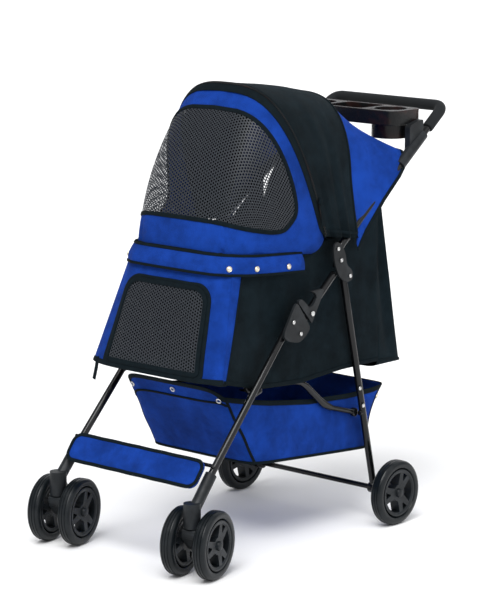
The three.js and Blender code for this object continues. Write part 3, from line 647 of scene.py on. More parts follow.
def rounded_border(centre, half, low_radius, high_radius, count=260):
    """A rectangle's border with elliptic corners, in a surface's own two parameters, evenly spaced round it."""
    turn = np.linspace(0, math.pi / 2, 14)
    sides, levels = [], []
    for quarter, (a, b, radius) in enumerate(((1, 1, high_radius), (-1, 1, high_radius), (-1, -1, low_radius),
                                              (1, -1, low_radius))):
        angle = turn + quarter * math.pi / 2
        sides.append(a * (half[0] - radius[0]) + radius[0] * np.cos(angle))
        levels.append(b * (half[1] - radius[1]) + radius[1] * np.sin(angle))
    u, v = np.concatenate([*sides, sides[0][:1]]), np.concatenate([*levels, levels[0][:1]])
    run = np.concatenate([[0], np.cumsum(np.hypot(np.diff(u), np.diff(v)))])
    even = np.linspace(0, run[-1], count, endpoint=False)
    return centre[0] + np.interp(even, run, u), centre[1] + np.interp(even, run, v)


def around_window(surface, border, centre, spans, rings=16):
    """The cloth between a window's border and the edges of a surface's unit square, ring by ring, with its UVs."""
    du, dv = border[0] - centre[0], border[1] - centre[1]
    reach_u = np.where(du > 0, 1 - centre[0], centre[0]) / np.maximum(np.abs(du), 1e-9)
    reach_v = np.where(dv > 0, 1 - centre[1], centre[1]) / np.maximum(np.abs(dv), 1e-9)
    reach = np.minimum(reach_u, reach_v)
    outer_u, outer_v = centre[0] + du * reach, centre[1] + dv * reach
    for u, v in ((0, 0), (0, 1), (1, 0), (1, 1)):
        nearest = np.argmin((outer_u - u) ** 2 + (outer_v - v) ** 2)
        outer_u[nearest], outer_v[nearest] = u, v
    share = np.linspace(0, 1, rings)[None]
    u = border[0][:, None] * (1 - share) + outer_u[:, None] * share
    v = border[1][:, None] * (1 - share) + outer_v[:, None] * share
    return surface(u, v), np.stack([u * spans[0], v * spans[1]], axis=-1)


def inside_window(surface, border, centre, rings=26):
    """The points inside a window's border, ring by ring in to its centre, with their two parameters."""
    share = np.linspace(0, 1, rings)[None]
    u = centre[0] + (border[0][:, None] - centre[0]) * share
    v = centre[1] + (border[1][:, None] - centre[1]) * share
    return surface(u, v), np.stack([u, v], axis=-1)


def net_panel(name, surface, border, centre, body):
    """A net inside a window's border. Its UVs are true lengths: along the centre line, and up the middle."""
    points, params = inside_window(surface, border, centre)
    steps = np.linspace(0, 1, 400)
    line = surface(steps, np.full(400, centre[1]))
    run = run_along(line)
    tall = np.linalg.norm(np.diff(surface(np.full(60, 0.5), np.linspace(0, 1, 60)), axis=0), axis=1).sum()
    uv = np.stack([np.interp(params[..., 0], steps, run), params[..., 1] * tall], axis=-1).reshape(-1, 2)
    faces = grid_faces(*points.shape[:2], wrap_rows=True)
    return piece(name, points.reshape(-1, 3), faces, uv, "net", body, outside=HOOD_MIDDLE)


def binding(name, surface, u, v, body, width, closed=False, lift=0.0006, inside=HOOD_MIDDLE, material="tape"):
    """A flat binding that lies on a surface along a line of its parameters."""
    path = surface(u, v)
    normal = normals_of(surface, u, v, inside)
    parts = [swept(path + normal * lift, normal, width, 0.0016, 12, closed, 3.0)]
    return joined(name, parts, "black_cloth", body, material)


def dome(centre, normal, radius, height, segments=20):
    """A rivet's or snap's head: a low dome with a rim, revolved about its normal."""
    turn = np.linspace(0, math.pi / 2, 6)
    top = np.stack([height * np.sin(turn), radius * 0.86 * np.cos(turn)], axis=1)
    top[-1, 1] = 1e-5
    profile = np.vstack([[(-0.001, 1e-5), (-0.001, radius), (height * 0.15, radius)], top])
    return revolved(profile, centre, normal, segments)


def flap_surface(share, depth):
    """The flap that hangs from the rim: the rim line lifted and pushed out, carried down and out over the cabin's
    front, with a soft belly between its two bound edges."""
    line = rim_line(0.006 + 0.988 * share)
    line[..., 1] += 0.036 * np.clip((np.abs(share - 0.5) * 2 - 0.8) / 0.2, 0, 1) ** 2
    front = np.clip(-line[..., 1] / 0.236, 0, 1) ** 2
    side = line[..., 0] / 0.172
    out = np.stack([side * 0.006, -0.007 * front, np.full(line.shape[:-1], 0.005)], axis=-1)
    drop = np.stack([side * 0.010, -0.017 * front, np.full(line.shape[:-1], -0.042)], axis=-1)
    belly = 0.0045 * np.sin(math.pi * depth) + 0.0010 * np.sin(share * 53) * depth
    away = unit(np.stack([side, -front, np.zeros(front.shape)], axis=-1))
    return line + out + drop * depth[..., None] + away * belly[..., None]


class StrollerHoodFront(bpy.types.Operator):
    """Blue front of the hood round its net window, with the window's binding, the rim piping and the arch binding."""

    bl_idname = "stroller.hood_front"
    bl_label = "Hood front"

    def execute(self, context):
        size = sizes()
        plain = between(rim_line, lambda share: zip_arch(share) + np.array([0, -0.005, 0]), size.hood_bulge)

        def surface(share, depth):
            points = plain(share, depth)
            low = np.clip(1 - depth / 0.24, 0, 1) * np.clip(depth / 0.03, 0, 1)
            tuck = (-0.0075 * np.exp(-((share - 0.665 + 0.06 * depth) / 0.010) ** 2)
                    + 0.0035 * np.exp(-((share - 0.635 + 0.16 * depth) / 0.014) ** 2)
                    - 0.0050 * np.exp(-((share - 0.335 - 0.06 * depth) / 0.012) ** 2)
                    + 0.0022 * np.sin(share * 47 + depth * 11))
            return points + unit(points - HOOD_MIDDLE) * (tuck * low)[..., None]

        centre = (0.5, 0.515)
        border = window_border(centre, (0.442, 0.315), 3.4)
        ring, uv = around_window(surface, border, centre, (0.86, 0.36))
        cloth = sheet("hood_front_cloth", ring, "blue_cloth", None, wrap=True, uv=uv)
        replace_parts(cloth, "hood_front")
        net = net_panel("hood_window_net", surface, border, centre, None)
        trim = binding("hood_window_binding", surface, *border, None, size.piping * 1.15, closed=True)
        line = np.linspace(0, 1, 160)
        seam = binding("hood_rim_piping", surface, line, np.full(160, 0.012), None, size.piping * 0.8)
        band = binding("hood_arch_binding", surface, line, np.full(160, 0.968), None, 0.0075)
        for soft in (cloth, net, trim, seam, band):
            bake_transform(soft)
        whole = surface(*spread(80, 60))
        cut(ring, strips=True)
        cut(whole[5:-5, 12:-10])
        return {"FINISHED"}


class StrollerRimFlap(bpy.types.Operator):
    """Blue flap along the cabin's rim, with piping on both edges and metal snaps."""

    bl_idname = "stroller.rim_flap"
    bl_label = "Rim flap"

    def execute(self, context):
        inside = np.array([0.0, -0.060, 0.560])
        share, depth = spread(220, 12)
        flap = sheet("rim_flap", flap_surface(share, depth), "blue_cloth", "upper_frame", outside=inside)
        cut(flap_surface(share, depth))
        line = np.linspace(0, 1, 220)
        for word, level in (("upper", 0.02), ("lower", 0.985)):
            binding(f"rim_flap_piping_{word}", flap_surface, line, np.full(220, level), "upper_frame",
                    sizes().piping * 0.75, inside=inside)
        places = np.array([0.018, 0.095, 0.255, 0.745, 0.905, 0.982])
        level = np.full(len(places), 0.66)
        spots = flap_surface(places, level)
        out = normals_of(flap_surface, places, level, inside)
        snaps = [dome(spot + normal * 0.0012, normal, 0.0062, 0.0026) for spot, normal in zip(spots, out)]
        joined("rim_snaps", snaps, "steel", "upper_frame", "snap")
        return {"FINISHED"}


def zip_band(name, line, normal, body, pitch=0.0034):
    """Zip tape along a line with two rows of small interlocked teeth standing on it."""
    tape = swept(line, normal, 0.0085, 0.0010, 10, power=4)
    joined(f"{name}_tape", [tape], "black_cloth", body, "tape")
    run = run_along(line)
    stops = np.arange(pitch, run[-1] - pitch, pitch)
    centre = np.stack([np.interp(stops, run, line[:, k]) for k in range(3)], axis=1)
    up = unit(np.stack([np.interp(stops, run, normal[:, k]) for k in range(3)], axis=1))
    heading = unit(np.gradient(centre, axis=0))
    side = np.cross(heading, up)
    swing = np.where(np.arange(len(stops)) % 2 == 0, 1.0, -1.0)[:, None]
    middle = centre + side * swing * 0.0010 + up * 0.0014
    corners = np.array([[a, b, c] for a in (-1, 1) for b in (-1, 1) for c in (-1, 1)], dtype=float)
    reach = np.array([0.0010, 0.0024, 0.0009])
    box = (middle[:, None] + corners[None, :, :1] * reach[0] * heading[:, None]
           + corners[None, :, 1:2] * reach[1] * side[:, None] + corners[None, :, 2:] * reach[2] * up[:, None])
    quads = np.array([[0, 1, 3, 2], [4, 6, 7, 5], [0, 4, 5, 1], [2, 3, 7, 6], [0, 2, 6, 4], [1, 5, 7, 3]])
    faces = (quads[None] + 8 * np.arange(len(stops))[:, None, None]).reshape(-1, 4)
    uv = np.zeros((len(stops) * 8, 2))
    return piece(f"{name}_teeth", box.reshape(-1, 3), faces, uv, "black_plastic", body, "tray_plastic", weld=False)


class StrollerHoodBack(bpy.types.Operator):
    """Black middle and blue rear of the hood, their zip, seams and bindings."""

    bl_idname = "stroller.hood_back"
    bl_label = "Hood middle and rear"

    def execute(self, context):
        size = sizes()

        def front_line(share):
            return zip_arch(share) + np.array([0, 0.006, 0.0])

        stretched = between(front_line, seam_arch, 0.007)

        def middle(share, depth):
            points = stretched(share, depth)
            low = np.clip(1 - np.sin(math.pi * np.clip(share, 0, 1)) / 0.9, 0, 1)
            ripple = (np.sin(depth * 17 + share * 9) + 0.6 * np.sin(depth * 29 + 1.3)) * np.sin(math.pi * depth)
            return points + unit(points - HOOD_MIDDLE) * (size.fold_depth * (0.10 + low) * ripple)[..., None]

        share, depth = spread(180, 40)
        black = sheet("hood_middle_cloth", middle(share, depth), "black_cloth", "upper_frame")
        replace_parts(black, "hood_middle")
        cut(middle(share, depth))

        tight = between(seam_arch, rear_edge, 0.0)

        def rear(share, depth):
            points = tight(share, depth)
            place = 1 - np.abs(share - 0.5) * 2
            side = np.clip(1 - place / 0.45, 0, 1)
            sag = -0.012 * np.sin(math.pi * depth) * np.clip((place - 0.35) / 0.4, 0, 1)
            ripple = 0.0011 * np.sin(depth * 9 + place * 14) * np.sin(math.pi * depth) * (0.4 + side)
            return points + unit(points - HOOD_MIDDLE) * (sag + ripple)[..., None]

        share, depth = spread(220, 44)
        blue = sheet("hood_rear_cloth", rear(share, depth), "blue_cloth", "upper_frame")
        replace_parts(blue, "hood_rear")
        cut(rear(share, depth))

        line = np.linspace(0, 1, 260)
        binding("hood_seam_piping", middle, line, np.full(260, 0.995), "upper_frame", size.piping * 0.7)
        binding("hood_rear_binding", rear, line, np.full(260, 0.988), "upper_frame", size.piping)
        for word, s in SIDES:
            level = np.linspace(0, 1, 60)
            edge = 0.997 if s > 0 else 0.003
            binding(f"hood_foot_binding_{word}", middle, np.full(60, edge), level, "upper_frame", size.piping * 0.8)
        arch = zip_arch(line)
        normal = unit(arch - HOOD_MIDDLE)
        zip_band("hood_zip", arch + normal * 0.0012, normal, "front_cover")
        self.pullers()
        return {"FINISHED"}

    def pullers(self):
        """Two zip sliders with webbing pulls that hang from the ends of the arch."""
        for word, s in SIDES:
            foot = zip_arch(np.array([0.965 if s > 0 else 0.035]))[0] + np.array([s * 0.006, 0, 0])
            slider = rod(foot, foot + np.array([0, 0.004, 0.014]), 0.0042, 14)
            ring = foot + np.array([s * 0.003, 0.001, -0.002])
            drop = np.array([[0, 0, 0], [s * 0.003, 0.003, -0.018], [s * 0.002, 0.006, -0.046]])
            strap = swept(rounded_path(ring + drop, 0.01), (s, 0, 0), 0.0045, 0.0011, 10, power=4)
            joined(f"zip_pull_{word}", [slider, strap], "black_cloth", "front_cover", "tape")


# ---------- the cabin ----------
CABIN_INSIDE = np.array([0.0, 0.020, 0.450])


def settle(made):
    """Gives a soft piece of the cabin or basket its own copy of its mesh."""
    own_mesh(made)


def front_wall(across, up):
    """The cabin's front: a leaning panel, wider below, swelling a little between its edges."""
    low, high = np.array([-0.322, 0.332]), np.array([-0.240, 0.588])
    half = 0.194 + (0.148 - 0.194) * up
    swell = 0.007 * np.sin(math.pi * np.clip(across, 0, 1)) * np.sin(math.pi * np.clip(up, 0, 1) ** 0.8)
    crease = 0.0012 * np.sin(across * 23 + up * 7) * np.sin(math.pi * np.clip(up, 0, 1))
    y = low[0] + (high[0] - low[0]) * up - swell - crease
    z = low[1] + (high[1] - low[1]) * up + 0.3 * swell
    lag = 0.026 * (np.abs(across - 0.5) * 2) ** 5
    return np.stack([(2 * across - 1) * half, y + lag, z], axis=-1)


def side_wall(s):
    """A cabin side: from the front panel's edge back to the pocket, with soft upright folds."""
    low_stops = [0, 0.07, 0.25, 0.50, 0.75, 1]
    high_stops = [0, 0.25, 0.50, 0.60, 0.75, 0.88, 1]

    def surface(along, up):
        y_low = np.interp(along, low_stops, [-0.296, -0.252, -0.151, -0.010, 0.130, 0.262])
        z_low = np.interp(along, low_stops, [0.334, 0.322, 0.297, 0.289, 0.298, 0.297])
        x_low = np.interp(along, [0, 0.12, 0.28, 1], [0.191, 0.180, 0.169, 0.169])
        y_high = np.interp(along, high_stops, [-0.214, -0.110, 0.010, 0.060, 0.140, 0.200, 0.246])
        z_high = np.interp(along, high_stops, [0.586, 0.588, 0.590, 0.600, 0.612, 0.660, 0.704])
        x_high = np.interp(along, [0, 0.18, 0.35, 1], [0.147, 0.158, 0.168, 0.172])
        fold = (np.sin(along * 19 + 0.6) + 0.7 * np.sin(along * 37 + up * 2.4) + 0.5 * np.sin(along * 8 - up * 3))
        depth = (0.0026 * fold * np.sin(math.pi * np.clip(up, 0, 1)) ** 0.7
                 * np.sin(math.pi * np.clip(along, 0, 1)) ** 0.5)
        x = x_low + (x_high - x_low) * up + depth
        return np.stack([s * x, y_low + (y_high - y_low) * up, z_low + (z_high - z_low) * up], axis=-1)
    return surface


class StrollerCabin(bpy.types.Operator):
    """Cabin walls: blue front round its net door, black sides and back, with bindings and the door's zip."""

    bl_idname = "stroller.cabin"
    bl_label = "Cabin"

    def execute(self, context):
        size = sizes()
        centre = (0.5, 0.395)
        border = rounded_border(centre, (0.375, 0.372), (0.030, 0.036), (0.105, 0.130))
        ring, uv = around_window(front_wall, border, centre, (0.345, 0.254))
        cloth = sheet("cabin_front_cloth", ring, "blue_cloth", "cabin_floor", wrap=True, outside=CABIN_INSIDE, uv=uv)
        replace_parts(cloth, "cabin_front")
        cut(front_wall(*spread(60, 60)))
        settle(cloth)
        rim = rounded_border(centre, (0.352, 0.345), (0.024, 0.030), (0.095, 0.118))

        def door(across, up):
            return front_wall(across, up) + np.array([0, -0.0022, 0.0007])

        net = net_panel("window_net", door, rim, centre, "front_window")
        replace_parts(net, "window_flap")
        cut(door(*spread(60, 60))[9:-9, 4:-15])
        trim = binding("window_binding", door, *rim, "front_window", size.piping * 1.25, True, inside=CABIN_INSIDE)
        for soft in (net, trim):
            settle(soft)
        opening = binding("door_zip_tape", front_wall, *border, "cabin_floor", size.piping * 1.3, True,
                          inside=CABIN_INSIDE)
        settle(opening)
        line = np.linspace(0, 1, 120)
        hem = binding("front_hem", front_wall, line, np.full(120, 0.012), "cabin_floor", size.piping * 1.4,
                      inside=CABIN_INSIDE)
        settle(hem)
        for word, s in SIDES:
            self.side(word, s)
        self.back()
        self.straps()
        return {"FINISHED"}

    def side(self, word, s):
        """One black side wall with its blue front wing, the wing's seam and the hem."""
        surface = side_wall(s)
        along, up = spread(150, 50)
        wall = sheet(f"cabin_side_cloth_{word}", surface(along, up), "black_cloth", "cabin_floor",
                     outside=CABIN_INSIDE)
        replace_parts(wall, f"cabin_side_{word}")
        cut(surface(along, up))
        settle(wall)

        def wing(share, up):
            points = surface(share * (0.020 + 0.050 * up), up)
            return points + np.array([s * 0.0022, -0.0006, 0]) * np.ones(points.shape)

        share, height = spread(20, 50)
        blue = sheet(f"front_wing_{word}", wing(share, height), "blue_cloth", "cabin_floor", outside=CABIN_INSIDE)
        cut(wing(share, height))
        settle(blue)
        seam = binding(f"front_wing_seam_{word}", wing, np.full(80, 1.0), np.linspace(0, 1, 80), "cabin_floor",
                       sizes().piping * 0.5, inside=CABIN_INSIDE)
        settle(seam)
        line = np.linspace(0, 1, 120)
        low = binding(f"side_hem_{word}", surface, line, np.full(120, 0.010), "cabin_floor", sizes().piping * 1.2,
                      inside=CABIN_INSIDE)
        settle(low)

    def back(self):
        """The back wall, which leans back above the rim."""
        across, up = spread(60, 50)
        y = (0.252 - 0.012 * np.clip(up / 0.77, 0, 1) + 0.052 * np.clip((up - 0.77) / 0.23, 0, 1) ** 1.2
             - 0.005 * np.sin(math.pi * across) * np.sin(math.pi * up))
        half = 0.166 - 0.004 * np.clip((up - 0.77) / 0.23, 0, 1)
        wall = np.stack([(2 * across - 1) * half, y, 0.305 + 0.430 * up], axis=-1)
        back = sheet("cabin_back_cloth", wall, "black_cloth", "cabin_floor", outside=CABIN_INSIDE)
        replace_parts(back, "cabin_back")
        cut(wall)
        settle(back)

    def straps(self):
        """The zip's pull strap, which hangs from the door's lower right corner."""
        top = front_wall(np.array([0.055]), np.array([0.045]))[0]
        drop = np.array([[0, -0.004, 0], [0.002, -0.008, -0.018], [-0.008, -0.007, -0.052]])
        strap = swept(rounded_path(top + drop, 0.01), (0, -1, 0), 0.0048, 0.0012, 10, power=4)
        settle(joined("door_strap", [strap], "black_cloth", "cabin_floor", "tape"))


class StrollerFloorPad(bpy.types.Operator):
    """Padded floor of the cabin, swelled by a cloth simulation."""

    bl_idname = "stroller.floor_pad"
    bl_label = "Floor pad"

    def execute(self, context):
        low, high = (np.array(corner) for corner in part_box("floor_board"))
        front, back = low[1] + 0.006, high[1] - 0.006
        rows, columns = 60, 40
        count = rows * columns
        along, across = spread(rows, columns)
        half = np.interp(along, [0, 0.22, 1], [0.178, 0.154, 0.154])
        slope = np.interp(along, [0, 0.22, 1], [high[2] - 0.006, high[2] - 0.016, low[2] + 0.007])
        top = np.stack([(2 * across - 1) * half, front + (back - front) * along, slope], axis=-1)
        under = top - np.array([0, 0, 0.010])
        faces = np.vstack([grid_faces(rows, columns), grid_faces(rows, columns, start=count)[:, ::-1]])
        ring = np.concatenate([np.arange(columns), np.arange(1, rows) * columns + columns - 1,
                               count - 2 - np.arange(columns - 1), np.arange(rows - 2, 0, -1) * columns])
        walls = np.stack([ring, np.roll(ring, -1), np.roll(ring, -1) + count, ring + count], axis=1)
        points = np.vstack([top.reshape(-1, 3), under.reshape(-1, 3)])
        pad = piece("floor_pad", points, np.vstack([faces, walls]), points[:, :2].copy(), "black_cloth",
                    "cabin_floor", shift=False)
        self.swell(pad, cap=0.008)
        layer = pad.data.uv_layers.active or pad.data.uv_layers.new(name="UVMap")
        corner = np.empty(len(pad.data.loops), dtype=np.int32)
        pad.data.loops.foreach_get("vertex_index", corner)
        flat = np.empty(len(pad.data.vertices) * 3, dtype=np.float32)
        pad.data.vertices.foreach_get("co", flat)
        layer.data.foreach_set("uv", np.ascontiguousarray(flat.reshape(-1, 3)[corner, :2]).ravel())
        pad.data.shade_smooth()
        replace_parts(pad, "floor_board")
        return {"FINISHED"}

    def swell(self, pad, cap):
        """Remeshes the pad, blows it up with a little pressure and keeps each point within a cap of its start."""
        scene = bpy.context.scene
        remesh = pad.modifiers.new("remesh", "REMESH")
        remesh.mode = "VOXEL"
        remesh.voxel_size = 0.005
        apply_modifiers(pad)
        count = len(pad.data.vertices)
        before = np.empty(count * 3)
        pad.data.vertices.foreach_get("co", before)
        cloth = pad.modifiers.new("cloth", "CLOTH")
        cloth.settings.use_pressure = True
        cloth.settings.uniform_pressure_force = 4.0
        cloth.settings.effector_weights.gravity = 0.0
        cloth.point_cache.frame_start, cloth.point_cache.frame_end = 1, 16
        for number in range(1, 17):
            scene.frame_set(number)
        apply_modifiers(pad)
        after = np.empty(count * 3)
        pad.data.vertices.foreach_get("co", after)
        move = (after - before).reshape(-1, 3)
        length = np.maximum(np.linalg.norm(move, axis=1, keepdims=True), 1e-9)
        kept = before.reshape(-1, 3) + move * np.minimum(1, cap / length)
        pad.data.vertices.foreach_set("co", kept.ravel())
        pad.data.update()
        scene.frame_set(1)


def apply_modifiers(made):
    """Turns what the modifiers make into the piece's own mesh."""
    graph = bpy.context.evaluated_depsgraph_get()
    mesh = bpy.data.meshes.new_from_object(made.evaluated_get(graph))
    made.modifiers.clear()
    made.data = mesh


class StrollerPocket(bpy.types.Operator):
    """Black pocket behind the cabin: a pouch whose sides fold inwards, with a bound mouth."""

    bl_idname = "stroller.pocket"
    bl_label = "Rear pocket"

    def execute(self, context):
        inside = np.array([0.0, 0.280, 0.450])

        def surface(around, up):
            turn = math.pi * around
            front = 0.263 + (0.243 - 0.263) * up
            back = np.interp(up, [0, 0.5, 0.97, 1.0], [0.371, 0.333, 0.291, 0.288])
            low, high = 0.279 + 0.013 * (1 - np.sin(turn)), 0.634 + 0.046 * np.clip(np.sin(turn), 0, 1) ** 0.5
            x = signed_power(np.cos(turn), 0.16) * (0.166 - 0.004 * up)
            depth = np.abs(np.sin(turn)) ** 0.45
            gusset = np.exp(-((depth - 0.5) / 0.22) ** 2) * 0.017 * np.sin(math.pi * np.clip(up, 0, 1)) ** 0.6
            droop = 0.004 * np.sin(around * 14) * np.sin(math.pi * up)
            return np.stack([x - np.sign(x) * gusset, front + (back - front) * depth + droop * depth,
                             low + (high - low) * up], axis=-1)

        eased = np.linspace(0, 1, 220)
        around, up = np.meshgrid(eased - np.sin(4 * math.pi * eased) * 0.02, np.linspace(0, 1, 46), indexing="ij")
        pouch = sheet("rear_pocket_cloth", surface(around, up), "black_cloth", "cabin_floor", outside=inside)
        share, depth = spread(220, 12)
        edge = surface(share, np.zeros_like(share))
        line = np.stack([edge[..., 0], np.full_like(share, 0.263), edge[..., 2]], axis=-1)
        under = sheet("rear_pocket_bottom", edge + (line - edge) * depth[..., None], "black_cloth", "cabin_floor",
                      outside=inside)
        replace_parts(pouch, "rear_pocket")
        cut(surface(around, up))
        cut(edge + (line - edge) * depth[..., None])
        arc = np.linspace(0, 1, 180)
        mouth = binding("rear_pocket_mouth", surface, arc, np.full(180, 0.99), "cabin_floor", sizes().piping,
                        inside=inside)
        hem = binding("rear_pocket_hem", surface, arc, np.full(180, 0.01), "cabin_floor", sizes().piping * 0.8,
                      inside=inside)
        for soft in (pouch, under, mouth, hem):
            settle(soft)
        return {"FINISHED"}


# ---------- the basket ----------
BASKET_INSIDE = np.array([0.0, 0.040, 0.190])


def basket_wall(around, down):
    """The basket's walls: rounded rectangles from the top edge down to the floor, slack between their corners."""
    turn = 2 * math.pi * around
    cosine, sine = (signed_power(wave(turn), 0.22) for wave in (np.cos, np.sin))
    front, back = -0.257 + 0.099 * down, 0.333 - 0.059 * down
    half = 0.151 + 0.008 * down
    y = (front + back) / 2 + (back - front) / 2 * sine
    share = (y - front) / (back - front)
    high = 0.287 + (0.227 - 0.287) * share - 0.022 * np.sin(math.pi * share) * np.abs(cosine) ** 4
    high += 0.018 * np.clip((-sine - 0.93) / 0.07, 0, 1)
    low = 0.124 + (0.092 - 0.124) * share
    z = high + (low - high) * down
    knee = 0.024 * np.sin(math.pi * np.clip(down, 0, 1)) * np.clip(sine, 0, 1) ** 3
    slack = 0.005 * np.sin(math.pi * np.clip(down, 0, 1)) * np.sin(math.pi * np.clip(share, 0.02, 0.98))
    ripple = 0.0018 * np.sin(y * 75 + down * 4) * np.sin(math.pi * np.clip(down, 0, 1))
    return np.stack([cosine * (half + slack + ripple), y - knee, z], axis=-1)


class StrollerBasket(bpy.types.Operator):
    """Blue basket under the cabin, with black binding, corner straps, eyelets and a snap."""

    bl_idname = "stroller.basket"
    bl_label = "Basket"

    def execute(self, context):
        around, down = np.meshgrid(np.linspace(0, 1, 240, endpoint=False), np.linspace(0, 1, 30), indexing="ij")
        walls = basket_wall(around, down)
        rings = np.linspace(0, 1, 16)[1:, None]
        edge = walls[:, -1]
        middle = np.array([0.0, 0.048, 0.106])
        floor = edge[:, None] + (middle - edge)[:, None] * rings[None]
        floor[..., 2] -= 0.006 * np.sin(math.pi / 2 * rings[None, :, 0])
        shell = np.concatenate([walls, floor], axis=1)
        basket = sheet("basket_cloth", shell, "blue_cloth", "cabin_floor", wrap=True, outside=BASKET_INSIDE)
        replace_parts(basket, "basket")
        cut(shell)
        line = np.linspace(0, 1, 240, endpoint=False)
        soft = [basket]
        for word, level in (("top", 0.012), ("bottom", 0.99)):
            soft.append(binding(f"basket_binding_{word}", basket_wall, line, np.full(240, level), "cabin_floor",
                                sizes().piping * (1.4 if word == "top" else 0.8), True, inside=BASKET_INSIDE))
        level = np.linspace(0, 1, 40)
        for number, corner in enumerate((0.115, 0.385, 0.615, 0.885)):
            soft.append(binding(f"basket_strap_{number + 1}", basket_wall, np.full(40, corner), level, "cabin_floor",
                                0.0032, inside=BASKET_INSIDE))
        front = np.linspace(0.622, 0.878, 90)
        soft.append(binding("basket_front_seam", basket_wall, front, 0.23 - 1.9 * (front - 0.622) ** 2, "cabin_floor",
                            0.0030, inside=BASKET_INSIDE))
        for made in soft:
            settle(made)
        self.metal()
        return {"FINISHED"}

    def metal(self):
        """Eyelets along the front's top edge and a snap at the rear corner."""
        places = np.array([0.671, 0.750, 0.829, 0.115])
        level = np.array([0.11, 0.11, 0.11, 0.16])
        spots = basket_wall(places, level)
        out = normals_of(basket_wall, places, level, BASKET_INSIDE)
        profile = [(-0.0008, 0.0035), (-0.0008, 0.0068), (0.0010, 0.0064), (0.0016, 0.0050), (0.0010, 0.0036)]
        rings = [revolved(profile, spot + normal * 0.0010, normal, 24) for spot, normal in zip(spots[:3], out[:3])]
        snap = dome(spots[3] + out[3] * 0.003, out[3], 0.0060, 0.0026)
        for made in (joined("basket_eyelets", rings, "steel", "cabin_floor"),
                     joined("basket_snap", [snap], "steel", "cabin_floor", "snap")):
            settle(made)


class StrollerFootrest(bpy.types.Operator):
    """Blue panel between the front legs, with black binding all round."""

    bl_idname = "stroller.footrest"
    bl_label = "Footrest"

    def execute(self, context):
        top, bottom = np.array([-0.347, 0.172]), np.array([-0.386, 0.117])
        lean = unit(top - bottom)
        out = np.array([-lean[1], lean[0]])
        long_half, short_half = 0.1955, float(np.linalg.norm(top - bottom)) / 2
        middle = (top + bottom) / 2 + out * 0.0035

        def surface(across, up):
            x, v = (2 * across - 1), (2 * up - 1)
            belly = 0.004 * (1 - np.clip(np.abs(x), 0, 1) ** 6) * (1 - np.clip(np.abs(v), 0, 1) ** 2)
            ripple = 0.0008 * np.sin(x * 17 + v * 2)
            line = middle + lean * (v * short_half)[..., None] + out * (belly + ripple)[..., None]
            return np.stack([x * long_half, line[..., 0], line[..., 1]], axis=-1)

        inside = np.array([0.0, -0.330, 0.125])
        corner = (0.052, 0.29)
        border = rounded_border((0.5, 0.5), (0.5, 0.5), corner, corner, 300)
        points, _ = inside_window(surface, border, (0.5, 0.5), 18)
        panel = sheet("footrest_cloth", points, "blue_cloth", "front_frame", wrap=True, thickness=0.005,
                      outside=inside)
        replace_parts(panel, "footrest_panel")
        cut(surface(*spread(60, 12)))
        edge = rounded_border((0.5, 0.5), (0.492, 0.462), corner, corner, 300)
        binding("footrest_binding", surface, *edge, "front_frame", sizes().piping, True, inside=inside)
        return {"FINISHED"}


# ---------- the frame ----------
def arm_point(s, share):
    """A point on one arm of the handle, from its start above the knee to the handle's corner."""
    start = np.array([s * KNEE_HALF, *ARM_START])
    return start + (np.array([s * HANDLE_HALF, *ARM_END]) - start) * share


def leg_point(s, share):
    """A point on one front leg, from its foot to the knee."""
    start = np.array([s * LEG_FOOT_HALF, -0.404, 0.073])
    return start + (np.array([s * KNEE_HALF, -0.084, 0.427]) - start) * share


def rivets(name, places, body, s):
    """Silver rivet heads facing outwards on one side."""
    heads = [dome(np.array([s * x, y, z]), (s, 0, 0), 0.0046, 0.0018) for x, y, z in places]
    return joined(name, heads, "steel", body)


